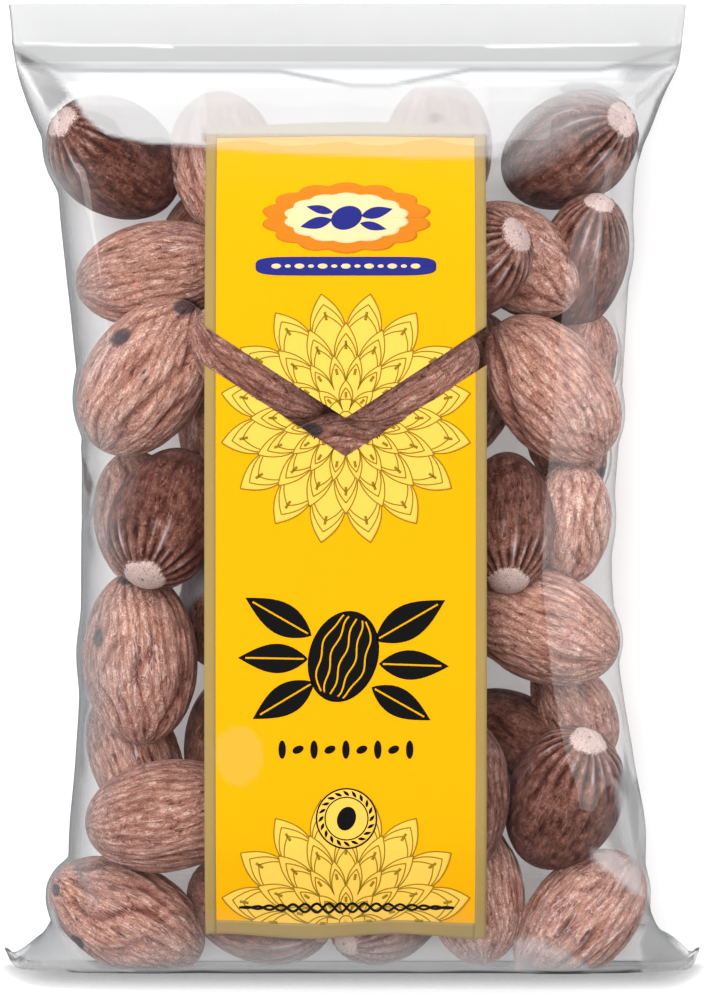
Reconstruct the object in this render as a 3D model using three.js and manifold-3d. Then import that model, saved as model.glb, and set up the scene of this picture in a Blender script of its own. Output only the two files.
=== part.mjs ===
// A sealed pillow bag of clear film, packed with whole nutmegs and printed on its front, lying on its back.
// Millimetres. +Z is up, +Y points to the top seal, and the origin is the middle of the footprint on the
// table.
import * as THREE from "three";
import { mergeVertices } from "three/addons/utils/BufferGeometryUtils.js";
import Module from "manifold-3d";

// The film's lengthwise run, from the cut edge of the top seal to the cut edge of the bottom seal. Each
// station is a section across the bag: where its middle is, how far it leans over, its left and right edges,
// and its thickness.
const SEAL_THICKNESS = 0.8;
const STATIONS = [
  // y, z, lean in degrees, left, right, thickness
  [80.9, 12.6, 0, -57.3, 55.8, SEAL_THICKNESS],
  [76.0, 11.6, 0, -56.8, 55.3, SEAL_THICKNESS],
  [71.5, 11.2, 0, -56.3, 54.7, SEAL_THICKNESS],
  [69.6, 11.7, 0, -55.9, 54.0, 8.5],
  [66.0, 13.0, 0, -54.8, 52.2, 16.5],
  [60.0, 14.8, 0, -52.4, 49.8, 24],
  [54.0, 16.5, 0, -49.4, 47.4, 29.6],
  [44.0, 18.7, 0, -48.4, 46.6, 36.2],
  [26.0, 20.8, 0, -46.4, 45.4, 41.2],
  [7.0, 21.9, 0, -44.8, 44.2, 43.6],
  [-10.0, 22.0, 0, -44.9, 43.0, 44],
  [-28.0, 22.0, 0, -45.0, 44.2, 44],
  [-45.0, 21.6, 0, -45.9, 46.8, 43.2],
  [-58.0, 20.8, 0, -47.0, 48.8, 41.2],
  [-66.0, 19.4, 3, -47.2, 48.6, 37],
  [-72.0, 17.6, 9, -50.2, 50.4, 30.5],
  [-76.0, 16.0, 22, -52.8, 53.4, 20],
  [-78.2, 14.0, 50, -55.6, 56.4, 7],
  [-79.6, 11.0, 80, -57.8, 58.0, 1.2],
  [-80.0, 3.0, 86, -58.4, 58.4, SEAL_THICKNESS],
];
const CROWN = 1.6; // how much the middle of a full section stands above its flanks
const FULL_THICKNESS = 44;
const SEAL_DEPTH = 9; // from its cut edge to where the film parts
// Shallow folds run out of each seal. They start at some distance from it, and fade within the reach.
const PUCKER = { depth: 0.25, deepest: 0.25, pitch: 15, start: 4, reach: 9 };
// The corners of the bottom seal curl back by the lift, where it leans between these two angles in radians.
const EAR = { start: 53, width: 5.4, lift: 3, fromLean: 0.9, toLean: 1.5 };

// The nutmegs. Each points its scarred end along the direction, tilted up towards the front by the tilt.
const NUTMEGS = [
  // x, y, z, direction, tilt, length, width
  // These lie against the film on the front.
  [-39.6, 55.1, 15.0, 146, 36, 26.3, 20.0],
  [-21.2, 54.0, 15.5, 100, -10, 25.0, 19.0],
  [-32.3, 35.8, 20.0, 190, 0, 27.5, 18.0],
  [-34.0, 18.5, 27.0, 236, -8, 28.7, 21.0],
  [-30.7, -4.9, 28.5, 253, 42, 27.0, 19.4],
  [-35.2, -27.9, 24.0, -88, -5, 29.0, 20.0],
  [-30.0, -53.9, 28.5, 188, 0, 28.3, 19.3],
  [-37.4, -71.0, 20.5, -28, -6, 28.0, 18.6],
  [-15.3, -69.4, 20.0, -17, 30, 27.0, 19.3],
  [6.0, -69.4, 20.0, 218, 42, 25.0, 18.0],
  [20.3, -66.6, 20.5, -82, 0, 25.0, 17.3],
  [37.8, -71.4, 20.5, 47, -5, 27.0, 18.4],
  [14.2, 55.6, 15.5, 85, 6, 25.0, 19.3],
  [36.2, 56.4, 15.5, 29, 43, 28.0, 19.3],
  [19.0, 36.8, 26.5, 30, 40, 26.0, 18.6],
  [38.2, 37.5, 16.0, 74, 38, 27.5, 15.8],
  [33.0, 16.5, 26.5, -52, 5, 28.0, 20.2],
  [25.7, -5.5, 28.0, -90, 38, 27.0, 16.3],
  [31.0, -22.5, 26.0, -22, 0, 27.8, 19.5],
  [35.0, -51.2, 26.5, 69, 38, 28.0, 20.0],
  [17.3, -51.5, 31.5, 85, 0, 27.5, 18.3],
  [-15.3, 20.2, 32.8, -35, 0, 26.0, 17.4],
  [-4.6, 3.7, 32.2, 20, 6, 24.0, 17.0],
  [9.4, 18.2, 32.8, 30, 0, 25.0, 17.0],
  [14.5, -4.2, 29.0, 90, 0, 25.0, 15.0],
  // These lie behind them.
  [-25.0, 41.5, 9.6, 60, 0, 21.0, 15.0],
  [-35.8, -5.0, 14.0, 95, 0, 23.0, 15.5],
  [-21.5, -18.5, 13.0, 80, 0, 23.0, 15.5],
  [-20.5, -42.0, 14.0, 80, 0, 23.0, 15.5],
  [-36.0, -45.2, 14.5, 110, 0, 25.0, 16.0],
  [27.7, 38.1, 20.5, -40, 0, 23.3, 17.6],
  [38.0, 21.0, 11.0, 75, 0, 18.0, 13.0],
  [36.3, -5.7, 22.0, 86, 12, 20.8, 14.0],
  [36.0, 7.0, 11.0, 110, 0, 18.0, 13.5],
  [27.5, -41.5, 12.0, -30, 8, 22.0, 15.0],
  [37.0, -36.5, 14.5, -60, 0, 20.0, 13.5],
  // These lie behind the print.
  [-7.5, 37.0, 27.5, 12, 0, 25.0, 18.0],
  [-10.8, -15.6, 31.8, 84, 0, 26.0, 18.4],
  [-9.8, -39.6, 31.8, 95, 0, 26.0, 18.4],
  [9.2, -27.8, 31.8, 97, 0, 25.0, 18.0],
  [0.8, -56.2, 30.5, 20, 0, 22.0, 17.0],
  [-6.0, 39.5, 9.4, 60, 0, 24.0, 16.5],
  [12.6, 37.4, 9.8, 170, 0, 22.0, 16.5],
  [-21.3, 11.5, 12.5, 85, 0, 25.0, 16.5],
  [0.2, 14.6, 9.6, 88, 0, 25.0, 17.6],
  [19.4, 17.5, 9.8, 80, 0, 25.0, 17.6],
  [-1.2, -11.6, 9.6, 93, 0, 25.0, 17.6],
  [18.2, -9.2, 9.8, 86, 0, 25.0, 17.6],
  [-2.0, -37.8, 9.8, 85, 0, 25.0, 17.6],
  [-8.4, -60.0, 10.2, 30, 0, 22.0, 17.0],
];
const FILM_GAP = 0.4;
// The film bridges from nutmeg to nutmeg within about this much. It is taut over the front, and hugs the
// nutmegs at the sides.
const FILM_STIFFNESS = { front: 1.1, side: 0.4 };
const BOTTOM_LINE = -80.2; // the fold of the bottom seal holds the film back here
const FARTHEST_PUSH = 12; // how far a nutmeg may push the film out from its resting shape
const FREE_LEAN = 0.5; // radians: a section that leans more than this has its back free of the nutmegs
// On the front the film sinks into the gaps, by this share of how far beneath it the nearest nutmeg lies.
const SINK = { share: 0.45, farthest: 9, softness: 1.5 };

// The printed front: a panel on the film, parted by a clear V across it.
const PRINT = { left: -24.3, right: 22.2, top: 60.4, bottom: -74.6, thickness: 0.35, gap: 0.3 };
const CLEAR_V = { upperEnds: 26.5, upperMiddle: 11.5, lowerEnds: 20.2, lowerMiddle: 5.2 };

const RINGS = 58;
const POINTS_ACROSS = 33; // on each face of the bag, from edge to edge
const RING_CROWDING = 0.09; // rings crowd together towards the two ends, where the film turns fastest

const radians = THREE.MathUtils.degToRad;

// Stations joined by a smooth curve that never overshoots them (Fritsch and Carlson's cubic), by distance
// along y and z.
const runs = [0];
for (let i = 1; i < STATIONS.length; i++) {
  const [y0, z0] = STATIONS[i - 1];
  const [y1, z1] = STATIONS[i];
  runs.push(runs[i - 1] + Math.hypot(y1 - y0, z1 - z0));
}
const filmLength = runs[runs.length - 1];

function smoothColumn(column) {
  const value = STATIONS.map((station) => station[column]);
  const slope = runs.slice(1).map((run, i) => (value[i + 1] - value[i]) / (run - runs[i]));
  const tangent = value.map((_, i) => {
    if (i === 0 || i === value.length - 1) return slope[Math.min(i, slope.length - 1)];
    const before = slope[i - 1];
    const after = slope[i];
    return before * after <= 0 ? 0 : (2 * before * after) / (before + after);
  });
  return (run) => {
    let i = 0;
    while (i < runs.length - 2 && run > runs[i + 1]) i++;
    const width = runs[i + 1] - runs[i];
    const t = (run - runs[i]) / width;
    const rise = t * t * (3 - 2 * t);
    return (
      value[i] * (1 - rise) +
      value[i + 1] * rise +
      width * (tangent[i] * t * (1 - t) ** 2 - tangent[i + 1] * t * t * (1 - t))
    );
  };
}
const [yAt, zAt, leanAt, leftAt, rightAt, thicknessAt] = [0, 1, 2, 3, 4, 5].map(smoothColumn);

function section(run) {
  const left = leftAt(run);
  const right = rightAt(run);
  const thickness = thicknessAt(run);
  return {
    y: yAt(run),
    z: zAt(run),
    lean: radians(leanAt(run)),
    middle: (left + right) / 2,
    half: (right - left) / 2,
    thickness,
    spine: (right - left) / 2 - thickness / 2,
  };
}

function nutmeg([x, y, z, direction, tilt, length, width]) {
  const level = Math.cos(radians(tilt));
  const axis = new THREE.Vector3(
    Math.cos(radians(direction)) * level,
    Math.sin(radians(direction)) * level,
    Math.sin(radians(tilt)),
  );
  return { centre: new THREE.Vector3(x, y, z), axis, halfLength: length / 2, halfWidth: width / 2 };
}

// How far out from a point, along a unit direction, the far side of a nutmeg is. Null where the line misses
// it.
function farSide(from, along, nut) {
  const long = (nut.halfLength + FILM_GAP) ** -2;
  const wide = (nut.halfWidth + FILM_GAP) ** -2;
  const offset = new THREE.Vector3().subVectors(from, nut.centre);
  const alongAxis = along.dot(nut.axis);
  const offsetAxis = offset.dot(nut.axis);
  const a = alongAxis ** 2 * long + (1 - alongAxis ** 2) * wide;
  const b = 2 * (offsetAxis * alongAxis * long + (offset.dot(along) - offsetAxis * alongAxis) * wide);
  const c = offsetAxis ** 2 * long + (offset.lengthSq() - offsetAxis ** 2) * wide - 1;
  const inside = b * b - 4 * a * c;
  return inside < 0 ? null : (-b + Math.sqrt(inside)) / (2 * a);
}

// A point of the film. Each section is a flat stadium round a straight spine: across runs from 0 at its left
// edge to 1 at its right edge, and face is 1 on the front and -1 on the back. Nutmegs near the film push it
// out.
function filmPoint(run, across, face, nuts) {
  const cut = section(run);
  const corner = (Math.PI / 4) * cut.thickness;
  const walked = (across - 0.5) * (2 * cut.spine + 2 * corner);
  const onSpine = THREE.MathUtils.clamp(walked, -cut.spine, cut.spine);
  const turn = ((walked - onSpine) / corner) * (Math.PI / 2);
  const upright = new THREE.Vector3(0, -Math.sin(cut.lean), Math.cos(cut.lean));
  const along = new THREE.Vector3(Math.sin(turn), 0, 0).addScaledVector(upright, face * Math.cos(turn));
  const from = new THREE.Vector3(cut.middle + onSpine, cut.y, cut.z);
  const fullness = cut.thickness / FULL_THICKNESS;
  const crowned = Math.max(0, 1 - ((onSpine + (cut.thickness / 2) * Math.sin(turn)) / cut.half) ** 2);
  const fromSeal = Math.min(run, filmLength - run) - SEAL_DEPTH;
  const fading = Math.exp(-((Math.max(0, fromSeal - PUCKER.start) / PUCKER.reach) ** 2));
  const fold = fading * THREE.MathUtils.clamp(fromSeal / PUCKER.start, 0, 1);
  const wave = Math.cos((2 * Math.PI * from.x) / PUCKER.pitch + face);
  const puckers = PUCKER.depth * fold * wave * Math.cos(turn);
  const flat = cut.thickness / 2 + CROWN * fullness * crowned * Math.cos(turn) ** 2;
  const rest = flat + Math.max(puckers, -PUCKER.deepest * cut.thickness);
  const stiffness = THREE.MathUtils.lerp(FILM_STIFFNESS.side, FILM_STIFFNESS.front, along.z ** 2);
  let pushes = 1;
  let nearness = Math.exp(-SINK.farthest / SINK.softness);
  // Behind the fold of the bottom seal the film hangs free of the nutmegs.
  for (const nut of face < 0 && cut.lean > FREE_LEAN ? [] : nuts) {
    const far = farSide(from, along, nut);
    if (far === null) continue;
    pushes += Math.exp(Math.min(far - rest, FARTHEST_PUSH) / stiffness);
    nearness += Math.exp((far - rest) / SINK.softness);
  }
  const gap = face > 0 ? Math.max(0, -SINK.softness * Math.log(nearness)) : 0;
  const sunk = SINK.share * gap * fullness * Math.cos(turn) ** 2;
  const point = from.addScaledVector(along, rest + stiffness * Math.log(pushes) - sunk);
  point.y = Math.max(BOTTOM_LINE, point.y);
  const folded = THREE.MathUtils.smoothstep(cut.lean, EAR.fromLean, EAR.toLean);
  const atCorner = THREE.MathUtils.clamp((Math.abs(point.x) - EAR.start) / EAR.width, 0, 1);
  point.y += EAR.lift * folded * atCorner ** 2;
  point.z = Math.max(0, point.z);
  return point;
}

function closedGrid(rows) {
  const round = rows[0].length;
  const positions = rows.flat().flatMap((p) => [p.x, p.y, p.z]);
  const index = [];
  const at = (row, i) => row * round + ((i + round) % round);
  for (let row = 0; row + 1 < rows.length; row++)
    for (let i = 0; i < round; i++) {
      index.push(at(row, i), at(row + 1, i), at(row + 1, i + 1));
      index.push(at(row, i), at(row + 1, i + 1), at(row, i + 1));
    }
  // Each cut edge is closed like a zip, from the front to the back. Both faces share the side edges.
  for (const [row, flip] of [
    [0, false],
    [rows.length - 1, true],
  ])
    for (let i = 0; i < round / 2; i++) {
      const [a, b, c, d] = [at(row, i), at(row, i + 1), at(row, -i - 1), at(row, -i)];
      for (const corners of [
        [a, b, c],
        [a, c, d],
      ])
        if (new Set(corners).size === 3) index.push(...(flip ? corners.reverse() : corners));
    }
  const geometry = new THREE.BufferGeometry();
  geometry.setAttribute("position", new THREE.Float32BufferAttribute(positions, 3));
  geometry.setIndex(index);
  return geometry;
}

// The whole bag, film and contents as one solid.
function bagGeometry(nuts) {
  const rows = [];
  for (let ring = 0; ring <= RINGS; ring++) {
    const share = ring / RINGS;
    const run = filmLength * (share - RING_CROWDING * Math.sin(2 * Math.PI * share));
    const front = [];
    const back = [];
    for (let i = 0; i < POINTS_ACROSS; i++) {
      const across = i / POINTS_ACROSS;
      front.push(filmPoint(run, across, 1, nuts));
      back.push(filmPoint(run, 1 - across, -1, nuts));
    }
    rows.push([...front, ...back]);
  }
  return closedGrid(rows);
}

// manifold-3d joins and cuts closed meshes.
const wasm = await Module();
wasm.setup();

function toSolid(geometry) {
  const bare = geometry.clone();
  for (const name of Object.keys(bare.attributes)) if (name !== "position") bare.deleteAttribute(name);
  const merged = mergeVertices(bare, 1e-4);
  return new wasm.Manifold(
    new wasm.Mesh({
      numProp: 3,
      vertProperties: merged.attributes.position.array,
      triVerts: new Uint32Array(merged.index.array),
    }),
  );
}

function toGeometry(solid) {
  const mesh = solid.getMesh();
  const geometry = new THREE.BufferGeometry();
  geometry.setAttribute("position", new THREE.BufferAttribute(mesh.vertProperties, 3));
  geometry.setIndex(new THREE.BufferAttribute(mesh.triVerts, 1));
  geometry.computeVertexNormals();
  return geometry;
}

// A printed area is a thin skin that follows the film: the bag lifted by the skin's top, less the bag lifted
// by the gap under it, inside an upright prism of the area's outline.
function printedSkin(bag, outline) {
  const shape = new THREE.Shape(outline.map(([x, y]) => new THREE.Vector2(x, y)));
  const prism = new THREE.ExtrudeGeometry(shape, { depth: FULL_THICKNESS, bevelEnabled: false });
  prism.translate(0, 0, FULL_THICKNESS / 2);
  const above = bag.translate([0, 0, PRINT.gap + PRINT.thickness]);
  const below = bag.translate([0, 0, PRINT.gap]);
  return toGeometry(above.intersect(toSolid(prism)).subtract(below));
}

const part = new THREE.Group();

function addPiece(name, geometry, color, roughness) {
  const material = new THREE.MeshStandardMaterial({ color, roughness, metalness: 0 });
  const piece = new THREE.Mesh(geometry, material);
  piece.name = name;
  part.add(piece);
}

const bagShape = bagGeometry(NUTMEGS.map(nutmeg));
const bagSolid = toSolid(bagShape);
const printMiddle = (PRINT.left + PRINT.right) / 2;
const upperPrint = [
  [PRINT.left, PRINT.top],
  [PRINT.left, CLEAR_V.upperEnds],
  [printMiddle, CLEAR_V.upperMiddle],
  [PRINT.right, CLEAR_V.upperEnds],
  [PRINT.right, PRINT.top],
];
const lowerPrint = [
  [PRINT.left, CLEAR_V.lowerEnds],
  [PRINT.left, PRINT.bottom],
  [PRINT.right, PRINT.bottom],
  [PRINT.right, CLEAR_V.lowerEnds],
  [printMiddle, CLEAR_V.lowerMiddle],
];
addPiece("bag", bagShape, 0xb08a7c, 0.25);
addPiece("print_upper", printedSkin(bagSolid, upperPrint), 0xfecc09, 0.35);
addPiece("print_lower", printedSkin(bagSolid, lowerPrint), 0xfecc09, 0.35);

export default part;
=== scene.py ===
import math

import bpy
import numpy as np
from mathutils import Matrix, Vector


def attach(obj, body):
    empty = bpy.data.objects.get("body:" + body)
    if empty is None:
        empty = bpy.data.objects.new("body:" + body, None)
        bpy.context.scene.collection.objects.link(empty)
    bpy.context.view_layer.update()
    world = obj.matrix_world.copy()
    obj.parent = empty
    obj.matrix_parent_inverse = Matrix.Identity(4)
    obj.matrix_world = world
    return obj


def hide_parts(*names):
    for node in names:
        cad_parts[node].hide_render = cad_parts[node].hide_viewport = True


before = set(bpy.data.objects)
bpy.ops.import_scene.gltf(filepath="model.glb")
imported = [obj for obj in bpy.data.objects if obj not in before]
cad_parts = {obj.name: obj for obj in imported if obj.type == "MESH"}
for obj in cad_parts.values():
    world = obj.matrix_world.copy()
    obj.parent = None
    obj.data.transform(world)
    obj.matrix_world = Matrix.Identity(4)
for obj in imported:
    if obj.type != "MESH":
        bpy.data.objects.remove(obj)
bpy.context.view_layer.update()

MM = 0.001

# -------------------------------------------------------------------------------------------------
# The lie of the bag. A tube of clear film, sealed flat across both ends and filled, lies on its back with
# the top seal towards +Y. It is drawn as sections along the film, each a flat stadium, and the nutmegs
# inside press it outwards. All lengths of this section are millimetres.
SEAL_THICKNESS = 0.8
STATIONS = np.array([
    # y, z, lean in degrees, left, right, thickness
    (80.9, 12.6, 0, -57.3, 55.8, SEAL_THICKNESS),
    (76.0, 11.6, 0, -56.8, 55.3, SEAL_THICKNESS),
    (71.5, 11.2, 0, -56.3, 54.7, SEAL_THICKNESS),
    (69.6, 11.7, 0, -55.9, 54.0, 8.5),
    (66.0, 13.0, 0, -54.8, 52.2, 16.5),
    (60.0, 14.8, 0, -52.4, 49.8, 24),
    (54.0, 16.5, 0, -49.4, 47.4, 29.6),
    (44.0, 18.7, 0, -48.4, 46.6, 36.2),
    (26.0, 20.8, 0, -46.4, 45.4, 41.2),
    (7.0, 21.9, 0, -44.8, 44.2, 43.6),
    (-10.0, 22.0, 0, -44.9, 43.0, 44),
    (-28.0, 22.0, 0, -45.0, 44.2, 44),
    (-45.0, 21.6, 0, -45.9, 46.8, 43.2),
    (-58.0, 20.8, 0, -47.0, 48.8, 41.2),
    (-66.0, 19.4, 3, -47.2, 48.6, 37),
    (-72.0, 17.6, 9, -50.2, 50.4, 30.5),
    (-76.0, 16.0, 22, -52.8, 53.4, 20),
    (-78.2, 14.0, 50, -55.6, 56.4, 7),
    (-79.6, 11.0, 80, -57.8, 58.0, 1.2),
    (-80.0, 3.0, 86, -58.4, 58.4, SEAL_THICKNESS),
])
CROWN = 1.6
FULL_THICKNESS = 44.0
PUCKER_DEPTH = 0.25
PUCKER_PITCH = 15.0
PUCKER_START, PUCKER_RISE, PUCKER_REACH = 9, 4, 9.0
EAR_START, EAR_WIDTH, EAR_LIFT = 53.0, 5.4, 3.0
EAR_LEAN, EAR_LEAN_RANGE = 0.9, 0.6
FURTHEST_PUSH = 12
FILM_GAP = 0.4
FRONT_STIFFNESS, SIDE_STIFFNESS = 1.1, 0.4
BOTTOM_LINE = -80.2
FREE_LEAN = 0.5

steps = np.hypot(np.diff(STATIONS[:, 0]), np.diff(STATIONS[:, 1]))
runs = np.concatenate([[0.0], np.cumsum(steps)])
film_length = runs[-1]


def smooth_column(column, run):
    """A station value at a place along the film, by a cubic whose end slopes are the harmonic mean of the
    slopes on both sides, so that it never overshoots a station."""
    value = STATIONS[:, column]
    slope = np.diff(value) / np.diff(runs)
    tangent = np.concatenate([slope[:1], np.zeros(len(slope) - 1), slope[-1:]])
    before, after = slope[:-1], slope[1:]
    agree = before * after > 0
    tangent[1:-1] = np.where(agree, 2 * before * after / np.where(agree, before + after, 1), 0)
    i = np.clip(np.searchsorted(runs, run, side="right") - 1, 0, len(runs) - 2)
    width = runs[i + 1] - runs[i]
    t = (run - runs[i]) / width
    rise = t * t * (3 - 2 * t)
    bend = width * (tangent[i] * t * (1 - t) ** 2 - tangent[i + 1] * t * t * (1 - t))
    return value[i] * (1 - rise) + value[i + 1] * rise + bend


def section(run):
    """Middle, height, lean, half width, thickness and half the flat part of the stadium, at places along the
    film."""
    y, z, lean, left, right, thickness = (smooth_column(column, run) for column in range(6))
    half = (right - left) / 2
    return y, z, np.radians(lean), (left + right) / 2, half, thickness, half - thickness / 2


# -------------------------------------------------------------------------------------------------
# The nutmegs: dried seeds, whole and unpolished. Some are pale and ridged, some pale with fine lines and a
# long furrow, some dark with a raised pale scar where the seed was joined to its fruit. They lie loose,
# pressed against the film.
RIDGED, SCARRED, LINED = 0, 1, 2
SEEN_NUTMEGS = [
    # x, y, z, scar's direction, scar's tilt, length, width, kind, darkness, scar radius, roll
    (-39.6, 55.1, 15.0, 146, 36, 26.3, 20.0, SCARRED, 0.90, 2.9, 0),
    (-21.2, 54.0, 15.5, 100, -10, 25.0, 19.0, LINED, 0.15, 0, 200),
    (-32.3, 35.8, 20.0, 190, 0, 27.5, 18.0, LINED, 0.32, 0, 160),
    (-34.0, 18.5, 27.0, 236, -8, 28.7, 21.0, RIDGED, 0.18, 0, 0),
    (-30.7, -4.9, 28.5, 250, 38, 27.0, 19.4, SCARRED, 0.92, 3.6, 0),
    (-35.2, -27.9, 24.0, -88, -5, 29.0, 20.0, RIDGED, 0.26, 0, 40),
    (-30.0, -53.9, 28.5, 188, 0, 28.3, 19.3, LINED, 0.45, 0, 150),
    (-37.4, -71.0, 20.5, -28, -6, 28.0, 18.6, RIDGED, 0.28, 0, 90),
    (-15.3, -69.4, 20.0, -17, 30, 27.0, 19.3, SCARRED, 0.62, 2.6, 0),
    (6.0, -69.4, 20.0, 218, 42, 25.0, 18.0, SCARRED, 0.5, 2.8, 0),
    (20.3, -66.6, 20.5, -82, 0, 25.0, 17.3, LINED, 0.0, 0, 30),
    (37.8, -71.4, 20.5, 47, -5, 27.0, 18.4, RIDGED, 0.24, 0, 10),
    (14.2, 55.6, 15.5, 85, 6, 25.0, 19.3, LINED, 0.20, 0, 60),
    (36.2, 56.4, 15.5, 29, 43, 28.0, 19.3, SCARRED, 0.85, 3.2, 0),
    (19.0, 36.8, 26.5, 30, 40, 26.0, 18.6, SCARRED, 0.72, 3.2, 0),
    (38.2, 37.5, 16.0, 74, 38, 27.5, 15.8, SCARRED, 0.85, 3.0, 0),
    (33.0, 16.5, 26.5, -52, 5, 28.0, 20.2, LINED, 0.22, 0, 330),
    (25.7, -5.5, 28.0, -90, 38, 27.0, 16.3, SCARRED, 0.82, 4.0, 0),
    (31.0, -22.5, 26.0, -22, 0, 27.8, 19.5, LINED, 0.25, 0, 20),
    (35.0, -51.2, 26.5, 69, 38, 28.0, 20.0, SCARRED, 0.85, 3.0, 0),
    (17.3, -51.5, 31.5, 85, 0, 27.5, 18.3, LINED, 0.70, 0, 80),
    (-15.3, 20.2, 32.8, -35, 0, 26.0, 17.4, LINED, 0.45, 0, 90),
    (-4.6, 3.7, 32.2, 20, 6, 24.0, 17.0, RIDGED, 0.48, 0, 0),
    (9.4, 18.2, 32.8, 30, 0, 25.0, 17.0, LINED, 0.34, 0, 70),
    (14.5, -4.2, 29.0, 90, 0, 25.0, 15.0, RIDGED, 0.35, 0, 30),
]
DEEP_NUTMEGS = [
    (-25.0, 41.5, 9.6, 60, 0, 21.0, 15.0, SCARRED, 0.75, 0, 0),
    (-35.8, -5.0, 14.0, 95, 0, 23.0, 15.5, RIDGED, 0.35, 0, 0),
    (-21.5, -18.5, 13.0, 80, 0, 23.0, 15.5, LINED, 0.75, 0, 0),
    (-20.5, -42.0, 14.0, 80, 0, 23.0, 15.5, SCARRED, 0.80, 0, 0),
    (-36.0, -45.2, 14.5, 110, 0, 25.0, 16.0, LINED, 0.35, 0, 90),
    (27.7, 38.1, 20.5, -40, 0, 23.3, 17.6, RIDGED, 0.16, 0, 60),
    (38.0, 21.0, 11.0, 75, 0, 18.0, 13.0, LINED, 0.30, 0, 0),
    (36.3, -5.7, 22.0, 86, 12, 20.8, 14.0, RIDGED, 0.05, 0, 0),
    (36.0, 7.0, 11.0, 110, 0, 18.0, 13.5, RIDGED, 0.40, 0, 0),
    (27.5, -41.5, 12.0, -30, 8, 22.0, 15.0, SCARRED, 0.80, 0, 0),
    (37.0, -36.5, 14.5, -60, 0, 20.0, 13.5, LINED, 0.35, 0, 0),
]
HIDDEN_NUTMEGS = [
    (-7.5, 37.0, 27.5, 12, 0, 25.0, 18.0, RIDGED, 0.3, 0, 0),
    (-10.8, -15.6, 31.8, 84, 0, 26.0, 18.4, LINED, 0.5, 0, 0),
    (-9.8, -39.6, 31.8, 95, 0, 26.0, 18.4, RIDGED, 0.3, 0, 0),
    (9.2, -27.8, 31.8, 97, 0, 25.0, 18.0, LINED, 0.7, 0, 0),
    (0.8, -56.2, 30.5, 20, 0, 22.0, 17.0, RIDGED, 0.4, 0, 0),
    (-6.0, 39.5, 9.4, 60, 0, 24.0, 16.5, LINED, 0.3, 0, 0),
    (12.6, 37.4, 9.8, 170, 0, 22.0, 16.5, RIDGED, 0.6, 0, 0),
    (-21.3, 11.5, 12.5, 85, 0, 25.0, 16.5, LINED, 0.4, 0, 0),
    (0.2, 14.6, 9.6, 88, 0, 25.0, 17.6, RIDGED, 0.7, 0, 0),
    (19.4, 17.5, 9.8, 80, 0, 25.0, 17.6, LINED, 0.3, 0, 0),
    (-1.2, -11.6, 9.6, 93, 0, 25.0, 17.6, LINED, 0.5, 0, 0),
    (18.2, -9.2, 9.8, 86, 0, 25.0, 17.6, RIDGED, 0.5, 0, 0),
    (-2.0, -37.8, 9.8, 85, 0, 25.0, 17.6, RIDGED, 0.3, 0, 0),
    (-8.4, -60.0, 10.2, 30, 0, 22.0, 17.0, RIDGED, 0.4, 0, 0),
]
ANGLE, TILT, LENGTH, WIDTH, KIND, DARKNESS, SCAR, ROLL = range(3, 11)
nuts = np.array(SEEN_NUTMEGS + DEEP_NUTMEGS + HIDDEN_NUTMEGS)
centres = nuts[:, :3]
angle, tilt = np.radians(nuts[:, ANGLE]), np.radians(nuts[:, TILT])
axes = np.stack([np.cos(angle) * np.cos(tilt), np.sin(angle) * np.cos(tilt), np.sin(tilt)], 1)

FRONT_AROUND, FRONT_ALONG = 200, 72
DEEP_AROUND, DEEP_ALONG = 96, 56
HIDDEN_AROUND, HIDDEN_ALONG = 72, 44
NUTMEG_LIMIT, LIMIT_SOFTNESS = -79.7, 0.5
FIRST_SEED = 1000
END_INSET = 0.05
TAPER, LOPSIDED = 0.035, 0.01
MARK_SOFTNESS = 1.6
PAINTED_GLINT_STRENGTH = 1.6
FACING_UP = 0.15
GRAIN_SPACING = 60.0
SPOTS = [
    # x, y, half length, half width, turn: blue-black spots and narrow slits in the coat of the pale nutmegs
    (-27.4, 30.0, 2.2, 1.5, 15), (-38.0, 24.9, 2.1, 1.4, 40), (-41.8, -24.6, 1.9, 0.8, 90),
    (-37.4, -15.1, 1.4, 0.9, 0), (-45.5, -75.2, 1.7, 1.1, -50), (-49.0, -66.4, 1.2, 0.8, 90),
    (-6.6, 9.6, 2.1, 1.3, 0), (42.3, 2.8, 1.8, 1.1, 0), (-34.3, 19.0, 1.1, 0.3, 50),
    (-33.8, 17.9, 1.0, 0.28, 50), (-38.3, -73.4, 1.0, 0.3, -38), (-37.5, -74.0, 0.7, 0.26, -38),
    (38.8, -73.3, 1.0, 0.3, 48), (37.9, -74.4, 0.6, 0.26, 48), (-35.6, -27.4, 0.9, 0.28, 80),
    (-34.9, -28.4, 0.7, 0.25, 80), (34.9, 41.9, 0.5, 0.4, 0), (34.2, 37.7, 0.4, 0.4, 0),
    (-24.4, -49.8, 0.8, 0.25, 10), (37.9, 13.2, 0.9, 0.26, -50),
]
PAINTED_GLINTS = [
    # x, y, half length, half width, turn: painted highlights, where a smooth rib of the coat would catch the
    # light
    (-35.4, 14.7, 1.0, 0.2, 45), (-36.2, 13.5, 0.9, 0.18, 50), (-35.3, 12.2, 0.9, 0.26, 28),
    (-34.4, 15.2, 0.7, 0.14, 48), (-34.7, -74.7, 1.0, 0.18, -57), (-32.3, -75.1, 1.1, 0.18, -57),
    (-36.2, -72.7, 1.1, 0.15, -45), (-33.6, -76.2, 0.6, 0.14, -60), (40.1, -67.6, 0.7, 0.2, 45),
    (38.8, -69.5, 1.3, 0.17, 53), (41.3, -69.1, 1.4, 0.2, 52), (40.0, -71.0, 0.8, 0.14, 50),
    (-34.2, -31.8, 0.9, 0.16, 78), (-35.5, -33.0, 0.7, 0.14, 84), (-28.5, -52.6, 1.1, 0.14, 8),
    (33.5, 12.0, 1.0, 0.15, -48),
]


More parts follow.
